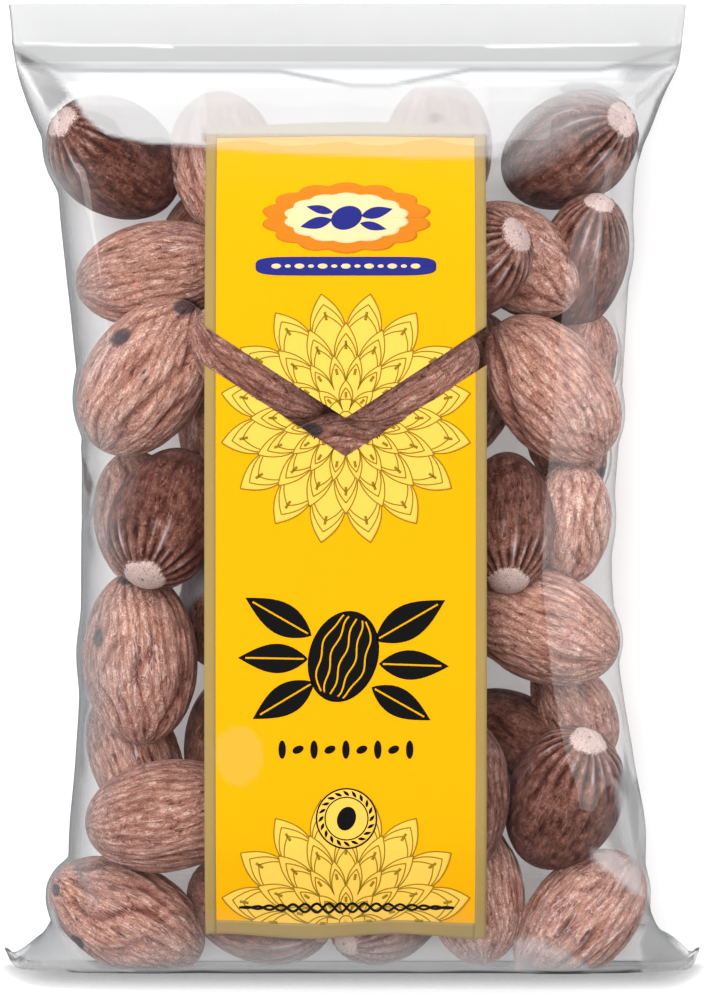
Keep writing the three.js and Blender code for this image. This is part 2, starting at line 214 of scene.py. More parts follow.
def ripples(rng, phi, theta, waves, turns, swing):
    """A sum of sines round and along a nutmeg, each with a whole number of turns, so that it has no seam."""
    total = np.zeros(np.broadcast(phi, theta).shape)
    for _ in range(waves):
        turn, lean, start = rng.integers(0, turns + 1), rng.uniform(-swing, swing), rng.uniform(0, 2 * np.pi)
        total += np.sin(turn * phi + lean * theta + start)
    return total / math.sqrt(waves / 2)


def furrows(phi, count, wobble, sharpness):
    """0 on the ridges and 1 in the furrows of a ring of waves round a nutmeg, bent by the wobble."""
    return (1 - np.abs(np.sin((count * phi + wobble) / 2))) ** sharpness


def crest(phi, count, wobble, width):
    """1 along the crests of the same ridges, within this width of their height."""
    return np.clip((np.abs(np.sin((count * phi + wobble) / 2)) - 1 + width) / width, 0, 1)


def bell(x, middle, width):
    """1 at the middle, falling away as a bell curve of this width."""
    return np.exp(-(((x - middle) / width) ** 2))


def seed_coat(rng, kind, scar, phi, theta):
    """Depth of the coat below its smooth form in millimetres, and from 0 to 1 how deep in a furrow a point
    is, how much it belongs to the scar, and how much painted highlight it carries. Theta is 0 at the scarred
    end and pi at the other."""
    waist = np.sin(theta)
    rough = 0.5 + 0.25 * ripples(rng, phi, theta, 9, 7, 6)
    broken = np.clip(0.9 + 0.8 * ripples(rng, phi, theta, 9, 5, 9), 0.1, 1.6)
    fine = furrows(phi, 44, 2.4 * ripples(rng, phi, theta, 10, 6, 9), 2.2)
    patch = 0.0 * theta * phi
    if kind == RIDGED:
        bold = furrows(phi, 12, 2.2 * ripples(rng, phi, theta, 6, 3, 5), 2.2) * broken
        small = furrows(phi, 25, 2.8 * ripples(rng, phi, theta, 8, 5, 8), 2.0)
        depth = (0.5 * bold + 0.32 * small * rough + 0.2 * fine) * waist ** 0.6
        shade = 0.5 * bold + 0.45 * small + 0.25 * fine
        painted_glint = np.clip(2 * ripples(rng, phi, theta, 9, 4, 5) - 0.6, 0, 1) * bell(theta, 1.7, 0.5)
    elif kind == SCARRED:
        bent = 1.2 * ripples(rng, phi, theta, 6, 3, 3)
        radial = furrows(phi, 21, bent, 1.3) * np.clip(broken + 0.3, 0.3, 1.2)
        body = furrows(phi, 17, 2.8 * ripples(rng, phi, theta, 8, 6, 7), 2.0) * broken
        near = bell(theta, 0.66, 0.42)
        depth = 0.6 * radial * near + (0.22 * body + 0.15 * fine) * rough * waist
        shade = 1.1 * radial * near + (0.2 + 0.35 * body + 0.3 * fine) * (1 - near)
        lit = np.clip(1.5 * ripples(rng, phi, theta, 9, 8, 7), 0, 1)
        painted_glint = crest(phi, 21, bent, 0.06) * bell(theta, 0.8, 0.26) * lit
        edge = scar * (1 + 0.05 * ripples(rng, phi, 0 * theta, 6, 7, 0))
        patch = np.clip((edge - 9.6 * np.sin(theta)) / 1.6 + 0.5, 0, 1) * (theta < 1.5) * (scar > 0)
        pad = np.clip(2.5 * patch - 0.75, 0, 1)
        depth = depth * (1 - pad) - 0.12 * pad
        shade = shade * (1 - pad)
        painted_glint = painted_glint * (1 - pad)
    else:
        lines = furrows(phi, 30, 2.6 * ripples(rng, phi, theta, 7, 4, 7), 2.0)
        broad = furrows(phi, 9, 1.6 * ripples(rng, phi, theta, 5, 2, 4), 1.8) * broken
        along = 0.5 * np.sin(2 * theta) + np.pi / 2
        seam = bell(phi, along, 0.11) * waist ** 0.5
        rim = bell(phi, along + 0.3, 0.12) * waist ** 0.5
        depth = (0.26 * broad + 0.28 * lines * (0.4 + rough) + 0.16 * fine) * waist ** 0.6
        depth = depth + 0.7 * seam - 0.15 * rim
        shade = 0.3 * broad + 0.5 * lines + 0.25 * fine + 0.6 * seam
        painted_glint = np.clip(2 * ripples(rng, phi, theta, 9, 4, 5) - 0.8, 0, 1) * bell(theta, 1.6, 0.5)
    return depth, np.clip(shade, 0, 1), patch, painted_glint


def marked(points, mark):
    """1 within an oval seen from above, falling to 0 outside it."""
    x, y, long, wide, turn = mark
    c, s = math.cos(math.radians(turn)), math.sin(math.radians(turn))
    across, up = points[:, 0] - x, points[:, 1] - y
    far = np.hypot((across * c + up * s) / long, (up * c - across * s) / wide)
    return np.clip((1.4 - far) * MARK_SOFTNESS, 0, 1)


def tube_quads(rows, around):
    """The quads between rows of points that each go round a closed form."""
    first = np.arange(around)
    after = (first + 1) % around
    row = np.arange(rows - 1)[:, None] * around
    corners = [row + first, row + around + first, row + around + after, row + after]
    return np.stack(corners, 2).reshape(-1, 4)


def nutmeg_arrays(i, around, along):
    """One nutmeg as a grid of rings from its scarred end to its other end, closed by a point at each end. A
    point is the centre, plus the long half axis times cosine theta, plus the short one times sine theta,
    less the coat's depth."""
    rng = np.random.default_rng(FIRST_SEED + i)
    nut, centre, axis = nuts[i], centres[i], axes[i]
    theta = (np.arange(along) + 0.5)[:, None] / along * np.pi
    phi = np.arange(around)[None] / around * 2 * np.pi
    depth, shade, patch, painted_glint = seed_coat(rng, int(nut[KIND]), nut[SCAR], phi, theta)
    upright = np.array([0.0, 0.0, 1.0]) - axis * axis[2]
    upright /= np.linalg.norm(upright)
    across = np.cross(axis, upright)
    turned = phi + math.radians(nut[ROLL])
    radial = np.cos(turned)[..., None] * upright + np.sin(turned)[..., None] * across
    a, b = nut[LENGTH] / 2, nut[WIDTH] / 2
    egg = 1 - TAPER * (1 - np.cos(theta)) - LOPSIDED * (1 + np.sin(3 * phi + i))
    form = axis * (a * np.cos(theta))[..., None] + radial * (b * egg * np.sin(theta))[..., None]
    normal = axis * (np.cos(theta) / a)[..., None] + radial * (np.sin(theta) / b)[..., None]
    normal /= np.linalg.norm(normal, axis=2, keepdims=True)
    ring = centre + form - normal * depth[..., None]
    ends = centre + np.outer([1, -1], axis * (a - END_INSET))
    points = np.concatenate([ring.reshape(-1, 3), ends])
    # Those by the bottom fold lie with their lower side behind it, so they are drawn as far as the fold.
    hidden = NUTMEG_LIMIT + LIMIT_SOFTNESS - points[:, 1]
    eased = LIMIT_SOFTNESS * (1 - np.exp(-np.maximum(hidden, 0) / LIMIT_SOFTNESS))
    points[:, 1] += np.where(hidden > 0, hidden - eased, 0)
    round_b = b * np.sin(theta)
    grain = np.stack([np.cos(phi) * round_b, np.sin(phi) * round_b, a * np.cos(theta) + 0 * phi], -1)
    grain = np.concatenate([grain.reshape(-1, 3), [[0, 0, a], [0, 0, -a]]]) + GRAIN_SPACING * i
    first = np.arange(around)
    after = (first + 1) % around
    quads = tube_quads(along, around)
    top, bottom = along * around, along * around + 1
    last = (along - 1) * around
    caps = np.concatenate([
        np.stack([np.full(around, top), first, after], 1),
        np.stack([np.full(around, bottom), last + after, last + first], 1),
    ])
    spot, painted_glint = np.zeros(len(points)), np.concatenate([painted_glint.ravel(), [0.0, 0.0]])
    if nut[KIND] == SCARRED:
        spot[:around], spot[top] = 0.75, 1.0
    else:
        facing = np.concatenate([normal[..., 2].ravel(), [0, 0]]) > FACING_UP
        for mark in SPOTS:
            spot = np.maximum(spot, marked(points, mark) * facing)
        for mark in PAINTED_GLINTS:
            painted_glint = np.maximum(painted_glint, PAINTED_GLINT_STRENGTH * marked(points, mark) * facing)
    tip = np.array([1.0, 0.0]) * (nut[SCAR] > 0)
    values = {
        "darkness": np.full(len(points), nut[DARKNESS]),
        "furrow": np.concatenate([shade.ravel(), [0.3, 0.3]]),
        "scar": np.concatenate([patch.ravel(), tip]),
        "painted_glint": painted_glint,
        "spot": spot,
    }
    return points, quads, caps, grain, values


def new_mesh(name, points, faces, smooth=True):
    """A mesh object at the origin from points in millimetres and a list of face arrays."""
    mesh = bpy.data.meshes.new(name)
    corners = np.concatenate([np.asarray(f).ravel() for f in faces]).astype(np.int32)
    sizes = np.concatenate([np.full(len(f), f.shape[1]) for f in faces]).astype(np.int32)
    mesh.vertices.add(len(points))
    mesh.vertices.foreach_set("co", (np.asarray(points) * MM).astype(np.float32).ravel())
    mesh.loops.add(len(corners))
    mesh.loops.foreach_set("vertex_index", corners)
    mesh.polygons.add(len(sizes))
    mesh.polygons.foreach_set("loop_start", np.concatenate([[0], np.cumsum(sizes)[:-1]]).astype(np.int32))
    mesh.polygons.foreach_set("use_smooth", np.full(len(sizes), smooth))
    mesh.update(calc_edges=True)
    mesh.validate()
    obj = bpy.data.objects.new(name, mesh)
    bpy.context.scene.collection.objects.link(obj)
    return obj


def set_attribute(obj, name, values):
    """A number or a vector for each vertex, for the material to read."""
    flat = np.asarray(values, dtype=np.float32)
    kind, key = ("FLOAT_VECTOR", "vector") if flat.ndim == 2 else ("FLOAT", "value")
    obj.data.attributes.new(name, kind, "POINT").data.foreach_set(key, flat.ravel())


def nutmeg_piece(name, chosen, around, along):
    """The chosen nutmegs as one piece."""
    parts = [nutmeg_arrays(i, around, along) for i in chosen]
    size = along * around + 2
    offsets = [k * size for k in range(len(parts))]
    quads = np.concatenate([part[1] + offset for part, offset in zip(parts, offsets)])
    caps = np.concatenate([part[2] + offset for part, offset in zip(parts, offsets)])
    obj = new_mesh(name, np.concatenate([part[0] for part in parts]), [quads, caps])
    set_attribute(obj, "grain", np.concatenate([part[3] for part in parts]))
    for key in parts[0][4]:
        set_attribute(obj, key, np.concatenate([part[4][key] for part in parts]))
    obj.data.materials.append(nutmeg_coat)
    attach(obj, "root")
    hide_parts("bag")
    return obj


def set_inputs(node, inputs):
    """Sets the inputs of a shader node: a field or a socket is linked, and anything else is set as it is."""
    for key, value in inputs.items():
        value = getattr(value, "socket", value)
        if isinstance(value, bpy.types.NodeSocket):
            node.id_data.links.new(value, node.inputs[key])
        else:
            node.inputs[key].default_value = value


def add_node(tree, kind, settings=None, inputs=None):
    """A shader node with its settings and its inputs."""
    made = tree.nodes.new(kind)
    for key, value in (settings or {}).items():
        setattr(made, key, value)
    set_inputs(made, inputs or {})
    return made


class Field:
    """A number that varies over a surface. Arithmetic with fields adds Math nodes to their tree."""

    def __init__(self, socket):
        self.socket = socket

    def math(self, operation, *values):
        settings, inputs = {"operation": operation}, dict(enumerate(values))
        return Field(add_node(self.socket.id_data, "ShaderNodeMath", settings, inputs).outputs[0])

    def __add__(self, other):
        return self.math("ADD", self, other)

    def __sub__(self, other):
        return self.math("SUBTRACT", self, other)

    def __rsub__(self, other):
        return self.math("SUBTRACT", other, self)

    def __mul__(self, other):
        return self.math("MULTIPLY", self, other)

    def __truediv__(self, other):
        return self.math("DIVIDE", self, other)

    def __pow__(self, other):
        return self.math("POWER", self, other)

    def __abs__(self):
        return self.math("ABSOLUTE", self)

    def clamped(self):
        """The same, kept between 0 and 1."""
        self.socket.node.use_clamp = True
        return self

    def fade(self, none, full):
        """0 at the first value and beyond it, and 1 at the second."""
        tree = self.socket.id_data
        return Field(add_node(tree, "ShaderNodeMapRange", None, {0: self, 1: none, 2: full}).outputs[0])


def attribute(tree, name):
    """A number that the mesh carries for each vertex."""
    return Field(add_node(tree, "ShaderNodeAttribute", {"attribute_name": name}).outputs["Fac"])


def noise(tree, place, scale, detail, roughness=0.5, distortion=0.0):
    """A smooth random field."""
    inputs = {"Scale": scale, "Detail": detail, "Roughness": roughness, "Distortion": distortion}
    return Field(add_node(tree, "ShaderNodeTexNoise", None, {"Vector": place, **inputs}).outputs["Fac"])


def object_place(tree):
    """The place on the object."""
    return add_node(tree, "ShaderNodeTexCoord").outputs["Object"]


def parts_of(tree, vector):
    """The x, y and z of a vector."""
    return [Field(part) for part in add_node(tree, "ShaderNodeSeparateXYZ", None, {0: vector}).outputs]


def bump(tree, height, strength, distance):
    """A normal that is bent as a relief of this height would bend it."""
    inputs = {"Strength": strength, "Distance": distance, "Height": height}
    return add_node(tree, "ShaderNodeBump", None, inputs).outputs["Normal"]


def add_grey(tree, value):
    """A grey of this value."""
    return add_node(tree, "ShaderNodeCombineColor", None, {0: value, 1: value, 2: value}).outputs[0]


def add_mix(tree, factor, first, second, blend="MIX"):
    """A colour between the first and the second."""
    settings = {"data_type": "RGBA", "blend_type": blend}
    first, second = ((*c, 1) if isinstance(c, tuple) else c for c in (first, second))
    return add_node(tree, "ShaderNodeMix", settings, {0: factor, 6: first, 7: second}).outputs[2]


def add_ramp(tree, factor, *stops):
    """A colour ramp through the stops, each a place and a colour."""
    made = add_node(tree, "ShaderNodeValToRGB", None, {0: factor})
    elements = made.color_ramp.elements
    while len(elements) < len(stops):
        elements.new(1.0)
    for element, (place, color) in zip(elements, stops):
        element.position = place
        element.color = (*color, 1)
    return made.outputs[0]


def new_material(name):
    """An empty node material, with its tree and its Principled BSDF."""
    material = bpy.data.materials.new(name)
    material.use_nodes = True
    return material, material.node_tree, material.node_tree.nodes["Principled BSDF"]


nutmeg_coat, tree, coat = new_material("nutmeg_coat")
grain = add_node(tree, "ShaderNodeAttribute", {"attribute_name": "grain"}).outputs["Vector"]
darkness, furrow, scar = attribute(tree, "darkness"), attribute(tree, "furrow"), attribute(tree, "scar")
painted_glint, spot = attribute(tree, "painted_glint"), attribute(tree, "spot")
lengthwise = add_node(tree, "ShaderNodeMapping", None, {"Vector": grain, "Scale": (1.0, 1.0, 0.2)}).outputs[0]
fibre = noise(tree, lengthwise, 1.5, 7.0, 0.78)
winding = noise(tree, lengthwise, 0.75, 2.0, 0.5, 0.6)
mottle = noise(tree, grain, 0.45, 5.0, 0.65)
speck = noise(tree, grain, 3.6, 3.0, 0.75)
crumble = noise(tree, grain, 1.3, 6.0, 0.8)
# Veins are thin winding lines, where a stretched noise passes through certain values. Beside each runs a
# painted highlight, as if a pale lip caught the light.
turns = winding * 7.0
level = turns.math("FRACT", turns)
vein = abs(level - 0.5).fade(0.13, 0.03) * mottle.fade(0.4, 0.56)
off_vein_highlight = abs(level - 0.74)
vein_highlight = off_vein_highlight.fade(0.12, 0.03)
# The pale ones are fibrous along their length, and the dark ones crumbly.
fibrous = (fibre - 0.5) * (darkness * -0.6 + 1.35)
crumbly = (crumble - 0.5) * darkness
# Each is also darker in its furrows, which is painted shade, and along its veins, which are its own colour.
grain_and_furrow_shade = fibrous + crumbly + 0.12 + furrow * 0.55 + vein * 0.3
depth_in = (grain_and_furrow_shade - vein_highlight * 0.12).clamped()
pale = add_ramp(
    tree, depth_in, (0.0, (0.82, 0.61, 0.53)), (0.12, (0.66, 0.385, 0.305)), (0.35, (0.46, 0.218, 0.165)),
    (0.62, (0.24, 0.092, 0.066)), (1.0, (0.06, 0.022, 0.015)),
)
dusky = add_ramp(
    tree, depth_in, (0.0, (0.33, 0.18, 0.135)), (0.12, (0.18, 0.066, 0.044)), (0.35, (0.092, 0.027, 0.0165)),
    (0.62, (0.036, 0.0125, 0.0105)), (1.0, (0.010, 0.007, 0.010)),
)
skin = add_mix(tree, (darkness + (mottle - 0.5)).clamped(), pale, dusky)
# Fine specks: the darker ones are the coat's own, and the brightest are painted sparkle.
specks_and_sparkle = add_ramp(tree, speck, (0.3, (0.55, 0.46, 0.43)), (0.5, (1.0, 1.0, 1.0)), (0.68, (1.7, 1.6, 1.55)))
skin = add_mix(tree, 1.0, skin, specks_and_sparkle, "MULTIPLY")
# Glints are painted highlights: a streak on a crest of a dark seed, and a short fine stroke in the middle of
# a pale one.
streak = off_vein_highlight.fade(0.07, 0.02)
streak = streak.math("MAXIMUM", streak, darkness.math("GREATER_THAN", darkness, 0.6))
skin = add_mix(tree, (painted_glint * streak).clamped() * 0.8, skin, (0.58, 0.55, 0.62))
# The edge of the scar is ragged.
cork = add_ramp(tree, speck, (0.34, (0.1, 0.05, 0.04)), (0.42, (0.66, 0.47, 0.43)), (0.8, (0.88, 0.70, 0.66)))
skin = add_mix(tree, (scar * 4.0 + speck * 5.0 - 4.0).clamped(), skin, cork)
dark_stain, grey_stain, pale_stain = (0.007, 0.007, 0.012), (0.03, 0.027, 0.04), (0.16, 0.13, 0.15)
stain = add_ramp(tree, speck, (0.36, dark_stain), (0.52, grey_stain), (0.66, pale_stain))
skin = add_mix(tree, (spot * 2.3 + speck * 3.6 - 3.2).clamped(), skin, stain)
set_inputs(coat, {
    "Base Color": skin,
    "Roughness": (fibre * 0.5 + 0.25 - darkness * 0.12).clamped(),
    "Normal": bump(tree, fibre + speck * 0.35 - vein * 0.3, 0.9, 0.0004),
    "Specular IOR Level": 0.3,
    "Sheen Weight": 0.06,
    "Sheen Roughness": 0.35,
    "Sheen Tint": (0.8, 0.78, 1.0, 1),
})

seen, deep = len(SEEN_NUTMEGS), len(SEEN_NUTMEGS) + len(DEEP_NUTMEGS)
for k, group in enumerate(np.array_split(np.arange(seen), 5)):
    nutmeg_piece(f"nutmegs_front_{k + 1}", group, FRONT_AROUND, FRONT_ALONG)
nutmeg_piece("nutmegs_behind", np.arange(seen, deep), DEEP_AROUND, DEEP_ALONG)
nutmeg_piece("nutmegs_hidden", np.arange(deep, len(nuts)), HIDDEN_AROUND, HIDDEN_ALONG)

# -------------------------------------------------------------------------------------------------
# The film: a clear glossy tube, milky where its ends are sealed flat, drawn over the nutmegs and folded at
# its corners. Only its outer surface is drawn, as one closed skin.
# Greys and whites painted on it stand for shade in its folds, for highlights and reflections, and for a
# shadow along its bottom edge.
RINGS = 290
RING_CROWDING = 0.09
POINTS_ACROSS = 144
CREASES = [
    # x, y of one end, x, y of the other, height, width: folds that stand out of the front of the film
    (-57.0, 75.5, -46.0, 63.5, 0.8, 0.9),
    (55.5, 75.5, 45.5, 62.5, 0.8, 0.9),
    (-57.3, 74.2, -48.7, 69.7, -0.15, 0.5),
    (-48.7, 69.7, -12.0, 69.5, -0.1, 0.45),
    (-12.0, 69.5, 0.0, 66.9, -0.1, 0.45),
    (0.0, 66.9, 6.3, 66.9, -0.1, 0.45),
    (6.3, 66.9, 19.7, 69.8, -0.1, 0.45),
    (19.7, 69.8, 41.3, 69.8, -0.1, 0.45),
    (41.3, 69.8, 56.3, 74.2, -0.15, 0.5),
    (-44.5, 8.0, -42.4, 0.5, 0.5, 0.7),
    (-42.4, 0.5, -44.3, -6.0, -0.5, 0.7),
    (43.2, -47.0, 46.8, -64.0, 0.5, 0.8),
    (45.5, -46.0, 47.5, -58.0, -0.6, 0.8),
]
# Dark greys in this table are painted shade in the folds. Pale greys are painted highlights on their facets,
# and painted reflections over the bottom nutmegs and as a faint glare on the label.
PAINTED_FOLD_SHADE_AND_HIGHLIGHTS = [
    # cover, greyness of what covers, softness of the edge, corners: where film is folded over and less clear,
    # and its painted shade and highlights
    (0.6, 0.125, 0.7, [
        (-56.7, 73.8), (-53.7, 72.1), (-49.5, 68.8), (-46.5, 65.1), (-48.3, 63.5), (-50.3, 61.8),
        (-51.7, 64.8), (-54.0, 69.0),
    ]),
    (0.50, 0.35, 0.6, [
        (55.8, 74.0), (53.3, 71.5), (48.0, 66.8), (46.0, 64.1), (47.0, 62.8), (49.7, 65.1), (53.3, 69.5),
    ]),
    (0.8, 0.125, 0.6, [
        (55.8, 73.1), (50.5, 64.8), (48.3, 59.0), (47.0, 56.1), (47.7, 54.0), (49.7, 58.1), (52.0, 63.5),
        (56.7, 72.8),
    ]),
    (0.65, 0.2, 0.7, [
        (44.8, -41.9), (45.8, -46.0), (47.5, -51.0), (47.5, -57.7), (46.3, -60.2), (45.7, -54.4),
        (44.3, -48.5),
    ]),
    (0.50, 0.45, 0.7, [
        (43.3, -47.7), (45.7, -51.9), (46.7, -60.2), (48.0, -63.5), (46.8, -65.2), (44.3, -56.9),
    ]),
    (0.70, 0.2, 0.9, [(49.3, -71.0), (52.7, -74.4), (57.2, -78.9), (48.0, -78.5), (47.3, -75.2)]),
    (0.36, 0.74, 1.0, [
        (39.3, -59.4), (42.2, -58.9), (45.5, -61.0), (47.7, -63.9), (48.2, -67.4), (46.3, -66.9),
        (42.7, -63.5), (39.7, -61.2),
    ]),
    (0.13, 0.45, 2.0, [(-24.0, -74.8), (22.0, -74.8), (22.0, -79.6), (-24.0, -79.6)]),
    (0.24, 0.66, 0.9, [
        (26.7, -74.4), (29.7, -73.5), (34.7, -76.0), (39.2, -78.9), (39.2, -79.9), (26.7, -79.9),
    ]),
    (0.60, 0.35, 0.9, [
        (-49.5, -69.4), (-55.0, -77.7), (-48.7, -79.9), (-41.2, -79.9), (-45.3, -76.9), (-48.3, -73.5),
    ]),
    (0.90, 0.1, 0.5, [(-57.5, -76.9), (-54.2, -78.0), (-55.3, -80.7), (-58.7, -80.9)]),
    (0.60, 0.12, 0.5, [(-44.7, 6.1), (-43.3, 3.5), (-42.3, 0.3), (-43.3, -2.2), (-44.3, 0.5)]),
    (0.035, 0.75, 0.5, [
        (-22.5, -43.7), (-21.7, -40.5), (-19.3, -38.9), (-16.7, -39.2), (-14.7, -41.5), (-14.5, -44.5),
        (-16.0, -47.4), (-18.3, -48.7), (-21.0, -47.5),
    ]),
]


def beside_line(points, a, b):
    """How far along the straight line from a to b points lie, from 0 to 1, and how far off it."""
    way = b - a
    share = np.clip((points - a) @ way / (way @ way), 0, 1)
    return share, np.hypot(*np.moveaxis(points - a - share[..., None] * way, -1, 0))


def film_points(run, across, face):
    """A point of the film. Each section is a flat stadium round a straight spine: across runs from 0 at its
    left edge to 1 at its right edge, and face is 1 on the front and -1 on the back. The film stands off the
    spine by half the thickness, a crown in the middle and puckers by the seals, plus stiffness times the log
    of one plus the sum of exponentials of how far each nutmeg reaches past that, so it bridges from nutmeg
    to nutmeg. It is taut over the front, hugs the nutmegs at the sides, and is held back by the fold of the
    bottom seal."""
    y, z, lean, middle, half, thickness, spine = section(run)
    corner = np.pi / 4 * thickness
    walked = (across - 0.5) * 2 * (spine + corner)
    on_spine = np.clip(walked, -spine, spine)
    turn = (walked - on_spine) / corner * np.pi / 2
    outward = face * np.cos(turn)
    along = np.stack([np.sin(turn), -outward * np.sin(lean), outward * np.cos(lean)], -1)
    start = np.stack(np.broadcast_arrays(middle + on_spine, y, z), -1)
    crowned = np.maximum(0, 1 - ((on_spine + thickness / 2 * np.sin(turn)) / half) ** 2)
    from_seal = np.minimum(run, film_length - run) - PUCKER_START
    fold = np.exp(-((np.maximum(0, from_seal - PUCKER_RISE) / PUCKER_REACH) ** 2))
    fold = fold * np.clip(from_seal / PUCKER_RISE, 0, 1)
    puckers = PUCKER_DEPTH * fold * np.cos(2 * np.pi * start[..., 0] / PUCKER_PITCH + face) * np.cos(turn)
    rest = thickness / 2 + CROWN * thickness / FULL_THICKNESS * crowned * np.cos(turn) ** 2
    rest = rest + np.maximum(puckers, -thickness / 4)
    stiffness = SIDE_STIFFNESS + (FRONT_STIFFNESS - SIDE_STIFFNESS) * along[..., 2] ** 2
    total = np.ones_like(rest)
    free = (face < 0) & (lean > FREE_LEAN)
    for nut, centre, axis in zip(nuts, centres, axes):
        long, wide = (nut[LENGTH] / 2 + FILM_GAP) ** -2, (nut[WIDTH] / 2 + FILM_GAP) ** -2
        offset = start - centre
        along_axis, offset_axis = along @ axis, offset @ axis
        a = along_axis ** 2 * long + (1 - along_axis ** 2) * wide
        b = 2 * (offset_axis * along_axis * (long - wide) + (offset * along).sum(-1) * wide)
        c = offset_axis ** 2 * (long - wide) + (offset ** 2).sum(-1) * wide - 1
        inside = b * b - 4 * a * c
        far = (-b + np.sqrt(np.maximum(inside, 0))) / (2 * a)
        total += np.where((inside >= 0) & ~free, np.exp(np.minimum(far - rest, FURTHEST_PUSH) / stiffness), 0)
    point = start + along * (rest + stiffness * np.log(total))[..., None]
    point[..., 1] = np.maximum(BOTTOM_LINE, point[..., 1])
    t = np.clip((lean - EAR_LEAN) / EAR_LEAN_RANGE, 0, 1)
    folded = t * t * (3 - 2 * t)
    point[..., 1] += EAR_LIFT * folded * np.clip((np.abs(point[..., 0]) - EAR_START) / EAR_WIDTH, 0, 1) ** 2
    for x0, y0, x1, y1, height, width in CREASES:
        share, gone = beside_line(point[..., :2], np.array([x0, y0]), np.array([x1, y1]))
        lift = height * np.exp(-((gone / width) ** 2)) * np.sin(np.pi * np.clip(share, 0.02, 0.98)) ** 0.7
        point = point + along * (lift * (face > 0))[..., None]
    point[..., 2] = np.maximum(0, point[..., 2])
    return point


PAINTED_SHEEN_AND_SEAL_GREYS = [
    # cover, greyness, softness, corners: painted sheen, reflections of the bright cards, on the slope under
    # the top seal and by the top of the label, then the greys of the band under the top seal, darker as
    # painted shade, and of the milky seal
    (0.52, 0.6, 0.5, [
        (-55.5, 72.6), (-53.0, 71.4), (-49.5, 69.0), (-46.2, 65.1), (-44.2, 61.5), (-40.7, 58.5),
        (-33.7, 57.0), (-24.4, 56.5), (-24.4, 71.3),
    ]),
    (0.45, 0.6, 0.5, [(-24.6, 58.2), (22.4, 58.2), (22.4, 71.3), (-24.6, 71.3)]),
    (0.16, 0.7, 0.6, [
        (-24.6, 56.2), (-10.0, 55.2), (10.0, 54.5), (22.4, 54.5), (22.4, 58.4), (-24.6, 58.4),
    ]),
    (0.38, 0.6, 0.9, [(22.3, 54.5), (24.0, 54.6), (29.0, 59.5), (36.0, 65.5), (42.0, 71.3), (22.3, 71.3)]),
    (0.2, 0.58, 5.0, [(24.0, 52.0), (30.0, 54.0), (44.0, 62.0), (49.0, 70.0), (36.0, 70.0), (30.0, 61.0)]),
    (0.9, 0.85, 4.0, [(-44.0, 68.4), (44.0, 68.4), (48.0, 78.0), (-52.0, 78.0)]),
    (0.0, 0.42, 0.5, [(-57.0, 71.2), (57.0, 71.2), (57.0, 74.1), (-57.0, 74.1)]),
    (0.0, 0.59, 0.4, [(-59.0, 74.1), (59.0, 74.1), (59.0, 82.0), (-59.0, 82.0)]),
]
BACK_PAINTED_GREYS = [
    # cover, greyness, softness, corners: greys painted on the back of the film, seen between the nutmegs:
    # darker by the bottom corners and the lower right side, and a wide pale one behind the bottom row,
    # painted light where the nutmegs' shadow falls
    (0.62, 0.46, 2.0, [(-48.5, -66.0), (-44.0, -80.5), (-56.0, -80.5), (-52.5, -76.0)]),
    (0.66, 0.34, 1.5, [(48.5, -66.5), (47.0, -80.5), (57.0, -80.5), (51.5, -72.5)]),
    (0.45, 1.0, 5.0, [(-48.0, -64.0), (48.0, -64.0), (50.0, -82.0), (-50.0, -82.0)]),
    (0.5, 0.42, 1.5, [(40.0, -52.0), (48.0, -48.0), (49.0, -66.0), (44.0, -62.0)]),
]
STROKES = [
    # cover, greyness, width, points: painted lines: white painted highlights along the lower edge of the top
    # seal, painted shade along the crease under it, and a black painted shadow along the bottom edge
    (0.9, 1.0, 0.3, [(-54.5, 74.4), (-40.0, 74.1), (-30.0, 73.9)]),
    (0.9, 1.0, 0.3, [(22.7, 73.9), (36.0, 74.0), (47.7, 74.3)]),
    (0.42, 0.34, 0.75, [
        (-57.0, 74.0), (-48.7, 69.7), (-12.0, 69.5), (0.0, 66.9), (6.3, 66.9), (19.7, 69.8), (41.3, 69.8),
        (49.7, 72.2), (56.3, 74.4),
    ]),
    (1.0, 0.002, 0.9, [(-55.0, -80.25), (-36.0, -80.15)]),
    (1.0, 0.002, 1.3, [(-36.0, -80.1), (-12.0, -80.0), (10.0, -80.2), (52.0, -80.0)]),
    (1.0, 0.002, 0.9, [(52.0, -80.3), (56.5, -80.5)]),
]
# Below this height the bottom of the film is seal, and above it lies the painted shadow line along the bottom
# edge.
STROKE_ABOVE = 24.0
SEAL_HEIGHT = 14.5
SEAL_SOFTNESS = 0.6
MATT_BELOW_GREY = 0.13
BOTTOM_SEAL_Y = -79.0
SEAL_COVER, SEAL_FOOT_COVER, SEAL_GREY = 0.4, 0.75, 0.5


def near_line(points, corners, width):
    """1 on a line through the corners and 0 away from it, with an edge half as soft as the line is wide."""
    corners = np.array(corners)
    nearest = np.min([beside_line(points, a, b)[1] for a, b in zip(corners, corners[1:])], 0)
    return np.clip((width / 2 - nearest) / (width / 2) + 0.5, 0, 1)


def inside_polygon(points, corners, softness):
    """1 inside a convex or slightly hollow polygon and 0 outside it, with an edge of this softness."""
    corners = np.array(corners)
    sides = list(zip(corners, np.roll(corners, -1, 0)))
    nearest = np.min([beside_line(points, a, b)[1] for a, b in sides], 0)
    crossings = np.zeros(points.shape[:-1], dtype=int)
    for a, b in sides:
        spans = (points[..., 1] < a[1]) != (points[..., 1] < b[1])
        meets = a[0] + (points[..., 1] - a[1]) * (b[0] - a[0]) / (b[1] - a[1] + 1e-9)
        crossings += spans & (points[..., 0] < meets)
    signed = np.where(crossings % 2 == 1, nearest, -nearest)
    return np.clip(signed / softness + 0.5, 0, 1)


